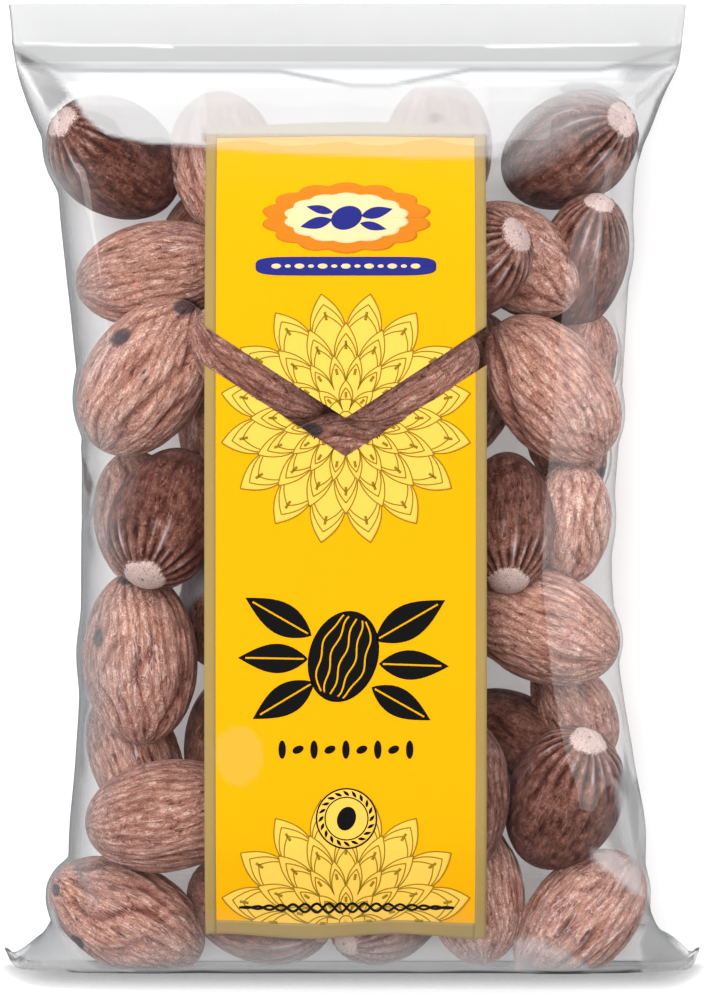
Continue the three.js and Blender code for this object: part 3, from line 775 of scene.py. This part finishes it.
share = np.arange(RINGS + 1)[:, None] / RINGS
run = film_length * (share - RING_CROWDING * np.sin(2 * np.pi * share))
across = np.arange(POINTS_ACROSS)[None] / POINTS_ACROSS
front_film = film_points(run, np.concatenate([across, [[1.0]]], 1), np.ones((1, POINTS_ACROSS + 1)))
back_film = film_points(run, 1 - across, -np.ones((1, POINTS_ACROSS)))
film_grid = np.concatenate([front_film[:, :-1], back_film], 1)
around = film_grid.shape[1]
film_quads = tube_quads(RINGS + 1, around)
# Each cut edge is closed like a zip, from the front to the back.
inner = np.arange(1, POINTS_ACROSS - 1)
zip_quads = np.stack([inner, inner + 1, around - inner - 1, around - inner], 1)
zip_ends = np.array([[0, 1, around - 1], [POINTS_ACROSS - 1, POINTS_ACROSS, POINTS_ACROSS + 1]])
last = RINGS * around
film_faces = [film_quads, zip_quads, last + zip_quads[:, ::-1], zip_ends, last + zip_ends[:, ::-1]]
film = new_mesh("film", film_grid.reshape(-1, 3), film_faces)
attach(film, "root")
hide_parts("bag")

cover_with_painted_light = np.zeros(film_grid.shape[:2])
grey_with_painted_light = np.full(film_grid.shape[:2], 0.5)
bottom_seal = np.clip((BOTTOM_SEAL_Y - film_grid[..., 1]) / SEAL_SOFTNESS + 0.5, 0, 1)
bottom_seal = bottom_seal * (film_grid[..., 2] < STROKE_ABOVE)
on_front = np.arange(around) <= POINTS_ACROSS
high_up = (film_grid[..., 2] > STROKE_ABOVE) | (film_grid[..., 1] > 0)


def flat_marks(table, drawn, where):
    """What a table of marks covers on part of the film: how much, with what grey, and a mask."""
    seen_flat = film_grid[..., :2]
    return [(cover, grey, drawn(seen_flat, corners, size) * where) for cover, grey, size, corners in table]


marks = flat_marks(PAINTED_SHEEN_AND_SEAL_GREYS + PAINTED_FOLD_SHADE_AND_HIGHLIGHTS, inside_polygon, on_front)
marks += flat_marks(BACK_PAINTED_GREYS, inside_polygon, ~on_front)
marks.append((SEAL_COVER, SEAL_GREY, bottom_seal))
marks.append((SEAL_FOOT_COVER, SEAL_GREY, bottom_seal * (film_grid[..., 2] < SEAL_HEIGHT)))
marks += flat_marks(STROKES, near_line, on_front * high_up)
for cover, grey, mask in marks:
    grey_with_painted_light = grey_with_painted_light * (1 - mask) + grey * mask
    cover_with_painted_light = cover_with_painted_light * (1 - mask) + cover * mask
# The bottom seal and the darkest painted shade are matt.
matt_seal_and_painted_shade = np.max([bottom_seal, *(mask for _, grey, mask in marks if grey < MATT_BELOW_GREY)], 0)
set_attribute(film, "matt_seal_and_painted_shade", matt_seal_and_painted_shade.ravel())
set_attribute(film, "cover_with_painted_light", cover_with_painted_light.ravel())
set_attribute(film, "grey_with_painted_light", grey_with_painted_light.ravel())

SEAL_TOP = 0.0741
SEAL_FOOT = 0.0712
FILM_IOR = 1.85
clear_film, tree, coat = new_material("clear_film")
place = object_place(tree)
place_y = parts_of(tree, place)[1]
# The seal is milky, and a band along its foot is covered most, in a darker grey that is painted shade.
# Painted greys and whites cover what lies under them, and so does film seen edge on.
sealed = place_y.fade(SEAL_TOP, SEAL_TOP + 0.0003)
foot = (noise(tree, place, 45.0, 1.0) * 0.0012 + place_y).fade(SEAL_FOOT, SEAL_FOOT + 0.0006)
haze = foot * 0.82 - sealed * 0.34
haze = haze.math("MAXIMUM", haze, attribute(tree, "cover_with_painted_light"))
slant = Field(add_node(tree, "ShaderNodeLayerWeight", None, {"Blend": 0.5}).outputs["Facing"])
edge_on = slant ** 2.3 * 1.15
# A sheet mirrors alike from both sides, but the Fresnel node takes the inside of a surface for the inside
# of glass.
outside = Field(add_node(tree, "ShaderNodeFresnel", None, {"IOR": FILM_IOR}).outputs[0])
inside = Field(add_node(tree, "ShaderNodeFresnel", None, {"IOR": 1 / FILM_IOR}).outputs[0])
geometry = add_node(tree, "ShaderNodeNewGeometry").outputs
facing_away = Field(geometry["Backfacing"])
mirror = (inside - outside) * facing_away + outside
# The shading normal is turned to the camera, so it is turned back where the inside shows.
turned = parts_of(tree, geometry["Normal"])
outward = facing_away * -2.0 + 1.0
near_side = (turned[1] * outward).fade(-0.2, -0.6)
# Along its right side the film's reflection and edge are weakened and its edge painted lighter, which is
# painted light, and the darkest painted shade and the bottom seal don't shine.
right_side = (turned[0] * outward).fade(0.3, 0.75)
shine = 1.0 - attribute(tree, "matt_seal_and_painted_shade")
mirror = mirror * (shine * (right_side * -0.6 + 1.0))
edge_on = edge_on * abs(turned[2]).fade(0.85, 0.55) * (shine * (right_side * -0.8 + 1.0))
milky = haze + edge_on
cover = (mirror + milky).clamped()
# Film seen edge on is painted dark grey, which is painted shade, and lighter where it faces the bottom and
# along its right side, which is painted light.
edge_tone = add_mix(tree, near_side, (0.085, 0.09, 0.095), (0.38, 0.38, 0.385))
edge_tone = add_mix(tree, right_side, edge_tone, (0.6, 0.61, 0.62))
shadowy = (edge_on / (milky + 0.001)).clamped()
milk = add_mix(tree, shadowy, add_grey(tree, attribute(tree, "grey_with_painted_light")), edge_tone)
set_inputs(coat, {
    "Base Color": add_mix(tree, (mirror / (cover + 0.001)).clamped(), milk, (0.92, 0.93, 0.94)),
    "Alpha": cover,
    "Metallic": (mirror / cover).clamped(),
    "Roughness": 0.03,
    "Normal": bump(tree, noise(tree, place, 70.0, 2.0), 0.25, 0.0005),
})
film.data.materials.append(clear_film)

# -------------------------------------------------------------------------------------------------
# The printed front: ink on the inside of the film, so that the film's gloss lies over it. Two yellow panels
# with a gold border, parted by a clear V, and on them a pale ornament, a medallion, a bar and black
# figures.
PRINT_LEFT, PRINT_RIGHT, PRINT_TOP, PRINT_BOTTOM = -24.1, 22.0, 60.2, -73.6
V_UPPER_ENDS, V_UPPER_MIDDLE, V_LOWER_ENDS, V_LOWER_MIDDLE = 26.5, 11.5, 20.2, 5.2
PRINT_MIDDLE = (PRINT_LEFT + PRINT_RIGHT) / 2
BORDER = 1.85
INK_THICKNESS = 0.015
MAP_STEP = 0.3
# How far below the film's surface each layer of ink lies.
PANEL_DEPTH, BORDER_DEPTH, FIRST_DEPTH = 0.24, 0.21, 0.18
SECOND_DEPTH, FIELD_DEPTH, TOP_DEPTH = 0.15, 0.135, 0.12
# The height of the waves at the print's ends, how fast they turn along x, where they start and in what
# length.
FOOT_WAVE, HEAD_WAVE = (0.45, 0.22, -68, 5), (0.4, 0.13, 57, 2.5)

# The front of the film as a height over a fine square grid: first each column of the film along y, then
# each row along x.
map_y = np.arange(-79.0, 66.0, MAP_STEP)
map_x = np.arange(-28.0, 26.0, MAP_STEP)
film_columns = np.moveaxis(front_film, 1, 0)[:, ::-1]
columns = np.array([np.interp(map_y, c[:, 1], c[:, 0]) for c in film_columns])
heights = np.array([np.interp(map_y, c[:, 1], c[:, 2]) for c in film_columns])
film_map = np.array([np.interp(map_x, x, z) for x, z in zip(columns.T, heights.T)])


def film_height(x, y):
    """Height of the front of the film over a place, between the four nearest points of the height map."""
    i = np.clip((x - map_x[0]) / MAP_STEP, 0, len(map_x) - 1.001)
    j = np.clip((y - map_y[0]) / MAP_STEP, 0, len(map_y) - 1.001)
    i0, j0 = i.astype(int), j.astype(int)
    u, v = i - i0, j - j0
    low = film_map[j0, i0] * (1 - u) + film_map[j0, i0 + 1] * u
    high = film_map[j0 + 1, i0] * (1 - u) + film_map[j0 + 1, i0 + 1] * u
    return low * (1 - v) + high * v


def v_line(x, ends, middle):
    """Height along y of an edge of the clear V, straight from its ends down to its middle."""
    half = (PRINT_RIGHT - PRINT_LEFT) / 2
    return middle + (ends - middle) * np.abs(x - PRINT_MIDDLE) / half


def upper_edge(x):
    """Height along y of the upper edge of the V."""
    return v_line(x, V_UPPER_ENDS, V_UPPER_MIDDLE)


def lower_edge(x):
    """Height along y of the lower edge of the V."""
    return v_line(x, V_LOWER_ENDS, V_LOWER_MIDDLE)


def between(low, high, x, size):
    """A grid of points and faces from the line low to the line high, both heights over the same x."""
    rows = max(2, int(np.ceil((high - low).max() / size)) + 1)
    t = np.linspace(0, 1, rows)[:, None]
    points = np.stack([np.broadcast_to(x, (rows, len(x))), low + (high - low) * t], -1)
    return grid_shape(points)


def grid_shape(points):
    """Points on a grid of rows and columns, and the quads between them."""
    rows, columns = points.shape[:2]
    corner = (np.arange(rows - 1)[:, None] * columns + np.arange(columns - 1)).ravel()
    quads = np.stack([corner, corner + 1, corner + columns + 1, corner + columns], 1)
    return points.reshape(-1, 2), quads


def filled(outline, centre, size=0.8):
    """The area inside an outline that can be seen whole from the centre, as rings that shrink towards it."""
    outline = np.asarray(outline, dtype=float)
    centre = np.asarray(centre, dtype=float)
    rings = max(2, int(np.ceil(np.hypot(*(outline - centre).T).max() / size)) + 1)
    t = np.linspace(0.02, 1, rings)[:, None, None]
    return grid_shape(centre + (np.concatenate([outline, outline[:1]]) - centre)[None] * t)


def ribbon(line, width):
    """A line drawn with a pen of this width."""
    line = np.asarray(line, dtype=float)
    way = np.gradient(line, axis=0)
    way /= np.linalg.norm(way, axis=1, keepdims=True) + 1e-12
    beside = np.stack([-way[:, 1], way[:, 0]], 1) * width / 2
    return grid_shape(np.stack([line - beside, line + beside]))


def joined(shapes):
    """Several shapes as one."""
    offsets = np.cumsum([0] + [len(points) for points, _ in shapes[:-1]])
    points = np.concatenate([points for points, _ in shapes])
    return points, np.concatenate([faces + offset for (_, faces), offset in zip(shapes, offsets)])


def cut_by_v(shape):
    """Leaves out what lies in the clear V, and draws the faces that reach into it back to its edge."""
    points, faces = shape[0].copy(), shape[1]
    upper, lower = upper_edge(points[:, 0]), lower_edge(points[:, 0])
    inside = (points[:, 1] < upper) & (points[:, 1] > lower)
    nearer = np.where(points[:, 1] - lower > upper - points[:, 1], upper, lower)
    faces = faces[~inside[faces].all(1)]
    points[:, 1] = np.where(inside, nearer, points[:, 1])
    return points, faces


def print_piece(name, shape, below, material, slot, *nodes):
    """A printed shape as a very thin slab that follows the film, below its surface by this much."""
    points, faces = shape
    used, faces = np.unique(faces, return_inverse=True)
    faces = faces.reshape(-1, 4)
    points = points[used]
    # Near its ends the print waves with the film.
    x, y = points.T
    (high, fast, start, length), (top_high, top_fast, top_start, top_length) = FOOT_WAVE, HEAD_WAVE
    wave = high * np.sin(fast * x) * np.clip((start - y) / length, 0, 1)
    wave = wave + top_high * np.cos(top_fast * x) * np.clip((y - top_start) / top_length, 0, 1)
    points = np.stack([x, y + wave], 1)
    a, b, c = points[faces[:, 0]], points[faces[:, 1]], points[faces[:, 2]]
    turn = (b - a)[:, 0] * (c - a)[:, 1] - (b - a)[:, 1] * (c - a)[:, 0]
    faces = np.where(turn[:, None] < 0, faces[:, ::-1], faces)
    height = film_height(points[:, 0], points[:, 1]) - below
    top = np.column_stack([points, height])
    bottom = np.column_stack([points, height - INK_THICKNESS])
    edges = np.stack([faces, np.roll(faces, -1, 1)], 2).reshape(-1, 2)
    key = np.sort(edges, 1) @ np.array([len(points), 1])
    _, index, count = np.unique(key, return_index=True, return_counts=True)
    rim = edges[index[count == 1]]
    n = len(points)
    walls = np.stack([rim[:, 1], rim[:, 0], rim[:, 0] + n, rim[:, 1] + n], 1)
    obj = new_mesh(name, np.concatenate([top, bottom]), [faces, faces[:, ::-1] + n, walls])
    obj.data.materials.append(material)
    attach(obj, "root")
    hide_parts(*nodes)
    return obj


ink_grain = bpy.data.node_groups.new("ink_grain", "ShaderNodeTree")
for name, way, kind in (
    ("Ink", "INPUT", "Color"), ("Unevenness", "INPUT", "Float"),
    ("Color", "OUTPUT", "Color"), ("Roughness", "OUTPUT", "Float"),
):
    ink_grain.interface.new_socket(name, in_out=way, socket_type=f"NodeSocket{kind}")
enters = ink_grain.nodes.new("NodeGroupInput").outputs
place = object_place(ink_grain)
clouds, dots = noise(ink_grain, place, 90.0, 4.0), noise(ink_grain, place, 2600.0, 1.0)
lighter = (clouds - 0.5 + (dots - 0.5)) * Field(enters["Unevenness"]) + 1.0
set_inputs(ink_grain.nodes.new("NodeGroupOutput"), {
    "Color": add_mix(ink_grain, 1.0, enters["Ink"], add_grey(ink_grain, lighter), "MULTIPLY"),
    "Roughness": clouds * 0.2 + 0.45,
})


def ink(name, color, unevenness):
    """A printing ink of this colour."""
    material, tree, coat = new_material(name)
    inputs = {"Ink": (*color, 1), "Unevenness": unevenness}
    grain = add_node(tree, "ShaderNodeGroup", {"node_tree": ink_grain}, inputs).outputs
    set_inputs(coat, {"Base Color": grain["Color"], "Roughness": grain["Roughness"]})
    set_inputs(coat, {"Specular IOR Level": 0.05})
    return material


yellow_ink = ink("yellow_ink", (0.86, 0.402, 0.001), 0.02)
gold_ink = ink("gold_ink", (0.36, 0.25, 0.085), 0.12)
pale_ink = ink("pale_ink", (0.88, 0.54, 0.085), 0.05)
brown_ink = ink("brown_ink", (0.30, 0.19, 0.012), 0.1)
orange_ink = ink("orange_ink", (0.62, 0.2, 0.014), 0.08)
cream_ink = ink("cream_ink", (0.84, 0.62, 0.34), 0.05)
blue_ink = ink("blue_ink", (0.022, 0.026, 0.2), 0.1)
black_ink = ink("black_ink", (0.006, 0.006, 0.006), 0.1)

# The panels and their border.
left, right = PRINT_LEFT + BORDER, PRINT_RIGHT - BORDER
top, bottom = PRINT_TOP - BORDER * 1.2, PRINT_BOTTOM + BORDER * 1.35
x = np.linspace(PRINT_LEFT, PRINT_RIGHT, 95)
PANEL_STEP = 0.5
BOTH_PANELS = ("print_upper", "print_lower")
upper_panel = between(upper_edge(x), np.full_like(x, PRINT_TOP), x, PANEL_STEP)
lower_panel = between(np.full_like(x, PRINT_BOTTOM), lower_edge(x), x, PANEL_STEP)
print_piece("print_yellow_upper", upper_panel, PANEL_DEPTH, yellow_ink, "print", "print_upper")
print_piece("print_yellow_lower", lower_panel, PANEL_DEPTH, yellow_ink, "print", "print_lower")


def border_strip(x0, x1, low, high):
    """An upright or level strip of the border, between two heights. Each is a number or an edge of the V."""
    x = np.linspace(x0, x1, max(2, int((x1 - x0) / PANEL_STEP) + 1))
    low, high = (edge(x) if callable(edge) else np.full_like(x, edge) for edge in (low, high))
    return between(low, high, x, PANEL_STEP)


border = joined([
    border_strip(PRINT_LEFT, left, upper_edge, PRINT_TOP),
    border_strip(right, PRINT_RIGHT, upper_edge, PRINT_TOP),
    border_strip(left, right, top, PRINT_TOP),
    border_strip(PRINT_LEFT, left, PRINT_BOTTOM, lower_edge),
    border_strip(right, PRINT_RIGHT, PRINT_BOTTOM, lower_edge),
    border_strip(left, right, PRINT_BOTTOM, bottom),
])
print_piece("print_border", border, BORDER_DEPTH, gold_ink, "print_gold", *BOTH_PANELS)

# The ornament: rings of pointed petals, drawn with a thin line on a paler ground. The V parts the upper
# one, and the lower one is cut off by the border.
LINE_WIDTH = 0.2
GROUND_RINGS = 34
NESTED_STEP, NESTED_SHRINK = 0.35, 0.2
MANDALA_MIDDLE = (-1.0, 11.5)
PETAL_RINGS = [
    # petals, turn in petals, radius of their foot, radius of their tip, lines in each
    (8, 0.0, 1.6, 6.2, 2),
    (16, 0.5, 5.2, 10.4, 2),
    (16, 0.0, 8.6, 15.6, 3),
    (16, 0.5, 13.6, 20.7, 3),
]


def petal_edge(angle, petals, turn, foot, tip):
    """Radius of the edge of a ring of petals in a direction: from the foot between two petals it swells like
    a quarter circle and then sharpens to a tip."""
    t = np.abs((angle / (2 * np.pi) * petals + turn + 0.5) % 1 - 0.5) * 2
    return foot + (tip - foot) * (0.72 * np.sqrt(np.maximum(0, 1 - t * t)) + 0.28 * (1 - t) ** 2)


def mandala(middle, angles):
    """The paler ground and the lines of the ornament, over a range of angles."""
    sweep = np.linspace(*angles, 1441)
    middle = np.array(middle)
    outer = np.max([petal_edge(sweep, *ring[:4]) for ring in PETAL_RINGS], 0)
    direction = np.stack([np.cos(sweep), np.sin(sweep)], 1)
    t = np.linspace(0.01, 1, GROUND_RINGS)[:, None, None]
    ground = grid_shape(middle + direction[None] * outer[None, :, None] * t)
    lines = []
    for k, (petals, turn, foot, tip, nested) in enumerate(PETAL_RINGS):
        covered = np.zeros_like(sweep)
        if k:
            covered = np.max([petal_edge(sweep, *ring[:4]) for ring in PETAL_RINGS[:k]], 0)
        for n in range(nested):
            reach = foot + (tip - foot) * (1 - NESTED_SHRINK * n)
            edge = petal_edge(sweep, petals, turn, foot, reach) - NESTED_STEP * n
            seen = edge > covered + 0.1
            for piece in np.split(np.arange(len(sweep)), np.flatnonzero(np.diff(seen.astype(int))) + 1):
                if len(piece) > 3 and seen[piece[0]]:
                    lines.append(ribbon(middle + direction[piece] * edge[piece, None], LINE_WIDTH))
        spokes = (np.arange(petals) - turn) / petals * 2 * np.pi
        for spoke in spokes:
            if not angles[0] - 1e-6 <= spoke % (2 * np.pi) <= angles[1] + 1e-6:
                continue
            way = np.array([np.cos(spoke), np.sin(spoke)])
            reach = np.linspace(foot + 0.38 * (tip - foot), foot + 0.58 * (tip - foot), 6)[:, None]
            lines.append(ribbon(middle + way * reach, LINE_WIDTH * 2.2))
    for radius in (1.1, 3.1):
        lines.append(ribbon(middle + direction * radius, LINE_WIDTH))
    return ground, joined(lines)


ground, lines = mandala(MANDALA_MIDDLE, (0, 2 * np.pi))
low_ground, low_lines = mandala((-1.0, bottom), (0, np.pi))
print_piece("print_ornament_ground", cut_by_v(ground), FIRST_DEPTH, pale_ink, "print_pale", *BOTH_PANELS)
print_piece("print_ornament_lines", cut_by_v(lines), SECOND_DEPTH, brown_ink, "print_pale", *BOTH_PANELS)
print_piece("print_foot_ornament_ground", low_ground, FIRST_DEPTH, pale_ink, "print_pale", "print_lower")
print_piece("print_foot_ornament_lines", low_lines, SECOND_DEPTH, brown_ink, "print_pale", "print_lower")

# The medallion and the bar under it.
MEDALLION = (-0.9, 44.4)
turns = np.linspace(0, 2 * np.pi, 181)[:-1]


def scalloped(middle, width, height, lobes, depth):
    """An oval with a scalloped edge."""
    swell = (1 + depth * np.abs(np.sin(turns * lobes / 2)))[:, None]
    return np.array(middle) + swell * np.stack([width * np.cos(turns), height * np.sin(turns)], 1)


medallion = filled(scalloped(MEDALLION, 12.8, 5.4, 14, 0.1), MEDALLION)
print_piece("print_medallion", medallion, FIRST_DEPTH, orange_ink, "print_orange", "print_upper")
field = filled(scalloped(MEDALLION, 9.6, 3.9, 14, 0.08), MEDALLION)
print_piece("print_medallion_field", field, SECOND_DEPTH, cream_ink, "print_orange", "print_upper")


def leaf(foot, tip, width):
    """A pointed leaf from its foot to its tip, and the point that it can be seen whole from."""
    foot, tip = np.array(foot), np.array(tip)
    t = np.linspace(0, 1, 26)
    way = tip - foot
    beside = np.array([-way[1], way[0]]) / np.linalg.norm(way)
    swell = (np.sin(np.pi * t ** 0.85) * width / 2)[:, None]
    spine = foot + way * t[:, None]
    outline = np.concatenate([spine + beside * swell, (spine - beside * swell)[::-1][1:-1]])
    return filled(outline, foot + way * 0.45, 0.5)


def oval(middle, width, height, lean=0.0):
    """An oval turned by an angle in degrees."""
    lean = math.radians(lean)
    x, y = width * np.cos(turns), height * np.sin(turns)
    turned = np.stack([x * math.cos(lean) - y * math.sin(lean), x * math.sin(lean) + y * math.cos(lean)], 1)
    return filled(np.array(middle) + turned, middle, 0.5)


mx, my = MEDALLION
sprig = joined([
    oval((mx, my), 2.6, 1.9, 20),
    leaf((mx + 2.4, my + 0.3), (mx + 7.6, my + 1.5), 1.9),
    leaf((mx + 2.2, my - 0.9), (mx + 6.6, my - 1.9), 1.4),
    leaf((mx - 2.4, my - 0.3), (mx - 7.6, my - 1.5), 1.9),
    leaf((mx - 2.2, my + 0.9), (mx - 6.6, my + 1.9), 1.4),
])
print_piece("print_medallion_sprig", sprig, TOP_DEPTH, blue_ink, "print_blue", "print_upper")
BAR = (-1.0, 36.4)
rounded = np.stack([
    BAR[0] + 14.8 * np.sign(np.cos(turns)) * np.abs(np.cos(turns)) ** 0.25,
    BAR[1] + 1.55 * np.sign(np.sin(turns)) * np.abs(np.sin(turns)) ** 0.6,
], 1)
print_piece("print_bar", filled(rounded, BAR, 0.6), SECOND_DEPTH, blue_ink, "print_blue", "print_upper")
bead_sizes = (0.8, 0.42), (0.5, 0.28)
beads = joined([oval((BAR[0] + 1.9 * k, BAR[1]), *bead_sizes[k % 2]) for k in range(-6, 7)])
print_piece("print_bar_beads", beads, TOP_DEPTH, cream_ink, "print_pale", "print_upper")

# The black figures: a nutmeg between leaves, a row of seeds, a ring, and a waved rule.
FIGURE = (-1.4, -27.4)
fx, fy = FIGURE
figure = joined([
    oval((fx, fy), 5.6, 7.6, -18),
    leaf((fx + 5.2, fy + 2.6), (fx + 16.6, fy + 9.2), 5.6),
    leaf((fx + 5.8, fy - 1.2), (fx + 17.2, fy - 1.6), 4.8),
    leaf((fx + 4.6, fy - 5.0), (fx + 14.2, fy - 10.4), 4.6),
    leaf((fx - 5.2, fy + 3.4), (fx - 16.0, fy + 9.6), 5.2),
    leaf((fx - 5.8, fy - 0.4), (fx - 17.2, fy - 0.2), 4.8),
    leaf((fx - 4.8, fy - 4.2), (fx - 14.8, fy - 10.2), 5.0),
])
print_piece("print_figure", figure, FIRST_DEPTH, black_ink, "print_black", "print_lower")
t = np.linspace(-1, 1, 40)
veins = []
for k in (-0.66, -0.33, 0.0, 0.33, 0.66):
    lean = math.radians(-18)
    u, v = 5.6 * k * np.sqrt(1 - (0.86 * t) ** 2) + 0.25 * np.sin(7 * t + 5 * k), 6.5 * t
    across = fx + u * math.cos(lean) - v * math.sin(lean)
    veins.append(ribbon(np.stack([across, fy + u * math.sin(lean) + v * math.cos(lean)], 1), 0.28))
for (x0, y0), (x1, y1) in (
    ((5.2, 2.6), (15.4, 8.5)), ((5.8, -1.2), (16.0, -1.55)), ((4.6, -5.0), (13.2, -9.85)),
    ((-5.2, 3.4), (-14.8, 8.9)), ((-5.8, -0.4), (-16.0, -0.22)), ((-4.8, -4.2), (-13.6, -9.5)),
):
    s = np.linspace(0.06, 1, 20)[:, None]
    veins.append(ribbon(np.array([fx + x0, fy + y0]) + np.array([x1 - x0, y1 - y0]) * s, 0.3))
print_piece("print_figure_veins", joined(veins), SECOND_DEPTH, yellow_ink, "print", "print_lower")
seed_sizes = (0.6, 1.5), (0.95, 0.6)
seeds = joined([oval((-1.0 + 2.6 * k, -42.6), *seed_sizes[k % 2], 25 * k % 50) for k in range(-4, 5)])
print_piece("print_seed_row", seeds, FIRST_DEPTH, black_ink, "print_black", "print_lower")
RING = np.array([-0.9, -53.9])
full_turn = np.linspace(0, 2 * np.pi, 181)
circle = np.stack([np.cos(full_turn), np.sin(full_turn)], 1)
ring_parts = [ribbon(RING + circle * radius, width) for radius, width in ((4.9, 0.25), (3.5, 0.2))]
for k in range(20):
    way = np.array([math.cos(k * math.pi / 10), math.sin(k * math.pi / 10)])
    side = np.array([-way[1], way[0]])
    ring_parts.append(leaf(RING + way * 3.75 - side * 0.45, RING + way * 4.6 + side * 0.6, 0.5))
ring_parts.append(oval(RING, 1.5, 2.0, -20))
print_piece("print_ring", joined(ring_parts), TOP_DEPTH, black_ink, "print_black", "print_lower")
ring_field = filled(RING + circle[:-1] * 5.0, RING)
print_piece("print_ring_field", ring_field, FIELD_DEPTH, pale_ink, "print_pale", "print_lower")
s = np.linspace(-1, 1, 121)
swing = 0.75 * np.sin(9 * np.pi * s) * (1 - s * s)
rule = joined([ribbon(np.stack([-0.9 + 17.6 * s, -68.7 + way * swing], 1), 0.42) for way in (1, -1)])
print_piece("print_rule", rule, TOP_DEPTH, black_ink, "print_black", "print_lower")

# -------------------------------------------------------------------------------------------------
# The studio: a pale floor that glows faintly, like a light table, a large soft light overhead, and white
# cards beyond the top seal and to the right, which show in the gloss of the film.
FLOOR_HALF, FLOOR_DROP = 3000.0, 0.2
CONTACT_START, CONTACT_FULL, CONTACT_REACH, CONTACT_POWER = -0.0795, -0.0805, 0.0055, 8.0
floor_corners = np.array([(-1, -1, 0), (1, -1, 0), (1, 1, 0), (-1, 1, 0)]) * FLOOR_HALF - [0, 0, FLOOR_DROP]
floor = new_mesh("floor", floor_corners, [np.array([[0, 1, 2, 3]])], smooth=False)
pale_floor, tree, coat = new_material("pale_floor")
# Below the bottom seal only, the floor's colour and glow are darkened by how much nearby geometry hides the
# sky: a painted contact shadow.
below = parts_of(tree, object_place(tree))[1].fade(CONTACT_START, CONTACT_FULL)
occlusion = add_node(tree, "ShaderNodeAmbientOcclusion", {"samples": 16}, {"Distance": CONTACT_REACH})
lit = 1.0 - (1.0 - Field(occlusion.outputs["AO"]) ** CONTACT_POWER) * below
set_inputs(coat, {
    "Base Color": add_mix(tree, lit, (0.02, 0.02, 0.02), (0.74, 0.74, 0.74)),
    "Roughness": 0.8,
    "Specular IOR Level": 0.0,
    "Emission Color": add_mix(tree, lit, (0, 0, 0), (1, 1, 1)),
    "Emission Strength": 0.3,
})
floor.data.materials.append(pale_floor)
floor.visible_glossy = False


def soft_light(name, place, target, width, height, radiance, in_gloss):
    """A rectangular light that faces the target. Its power is its radiance times its area times pi."""
    data = bpy.data.lights.new(name, "AREA")
    data.shape = "RECTANGLE"
    data.size, data.size_y = width, height
    data.energy = radiance * width * height * math.pi
    obj = bpy.data.objects.new(name, data)
    obj.location = place
    obj.rotation_euler = (Vector(target) - Vector(place)).to_track_quat("-Z", "Y").to_euler()
    obj.visible_glossy = in_gloss
    obj.visible_camera = False
    bpy.context.scene.collection.objects.link(obj)
    return obj


soft_light("overhead", (-0.4, 0.6, 2.3), (0, 0, 0), 2.8, 2.6, 4.5, False)
soft_light("left_fill", (-1.6, -0.3, 0.9), (0, 0, 0.02), 1.4, 1.2, 1.6, False)
soft_light("top_card", (0, 1.0, 0.11), (0, 0, 0.11), 2.4, 0.22, 1.2, True)
soft_light("top_floor_card", (0, 0.5425, 0.001), (0, 0.5425, 1), 2.4, 0.915, 1.7, True)
soft_light("right_card", (1.0, 0.16, 0.28), (0, 0.16, 0.28), 0.56, 0.56, 1.7, True)
soft_light("right_floor_card", (0.58, 0.05, 0.001), (0.58, 0.05, 1), 0.6, 0.24, 1.2, True)

world = bpy.data.worlds.new("studio")
bpy.context.scene.world = world
world.use_nodes = True
tree = world.node_tree
seen_by = add_node(tree, "ShaderNodeLightPath").outputs
x, y, z = parts_of(tree, add_node(tree, "ShaderNodeTexCoord").outputs["Generated"])
beside = add_mix(tree, x.fade(0.35, 0.8), (0.14, 0.145, 0.15), (0.5, 0.5, 0.5))
beside = add_mix(tree, y.fade(-0.35, -0.8), beside, (0.5, 0.5, 0.5))
mirrored = add_mix(tree, z.fade(0.45, 0.05), (0.02, 0.02, 0.022), beside)
room = add_mix(tree, seen_by["Is Glossy Ray"], (0.35, 0.35, 0.36), mirrored)
room = add_mix(tree, seen_by["Is Camera Ray"], room, (0.93, 0.93, 0.93))
set_inputs(tree.nodes["Background"], {"Color": room})

CAMERA_HEIGHT = 1.415
SUBJECT_HEIGHT = 0.015
FRAME_HEIGHT = 1.0 / 6.0
AIM_Y = -0.001875
SENSOR_HEIGHT = 36.0
camera_data = bpy.data.cameras.new("camera")
camera_data.sensor_fit = "VERTICAL"
camera_data.sensor_height = SENSOR_HEIGHT
camera_data.lens = SENSOR_HEIGHT * (CAMERA_HEIGHT - SUBJECT_HEIGHT) / FRAME_HEIGHT
camera_data.clip_start, camera_data.clip_end = 0.05, 20.0
camera = bpy.data.objects.new("camera", camera_data)
camera.location = (0, AIM_Y, CAMERA_HEIGHT)
bpy.context.scene.collection.objects.link(camera)
bpy.context.scene.camera = camera
bpy.context.scene.view_settings.view_transform = "Standard"
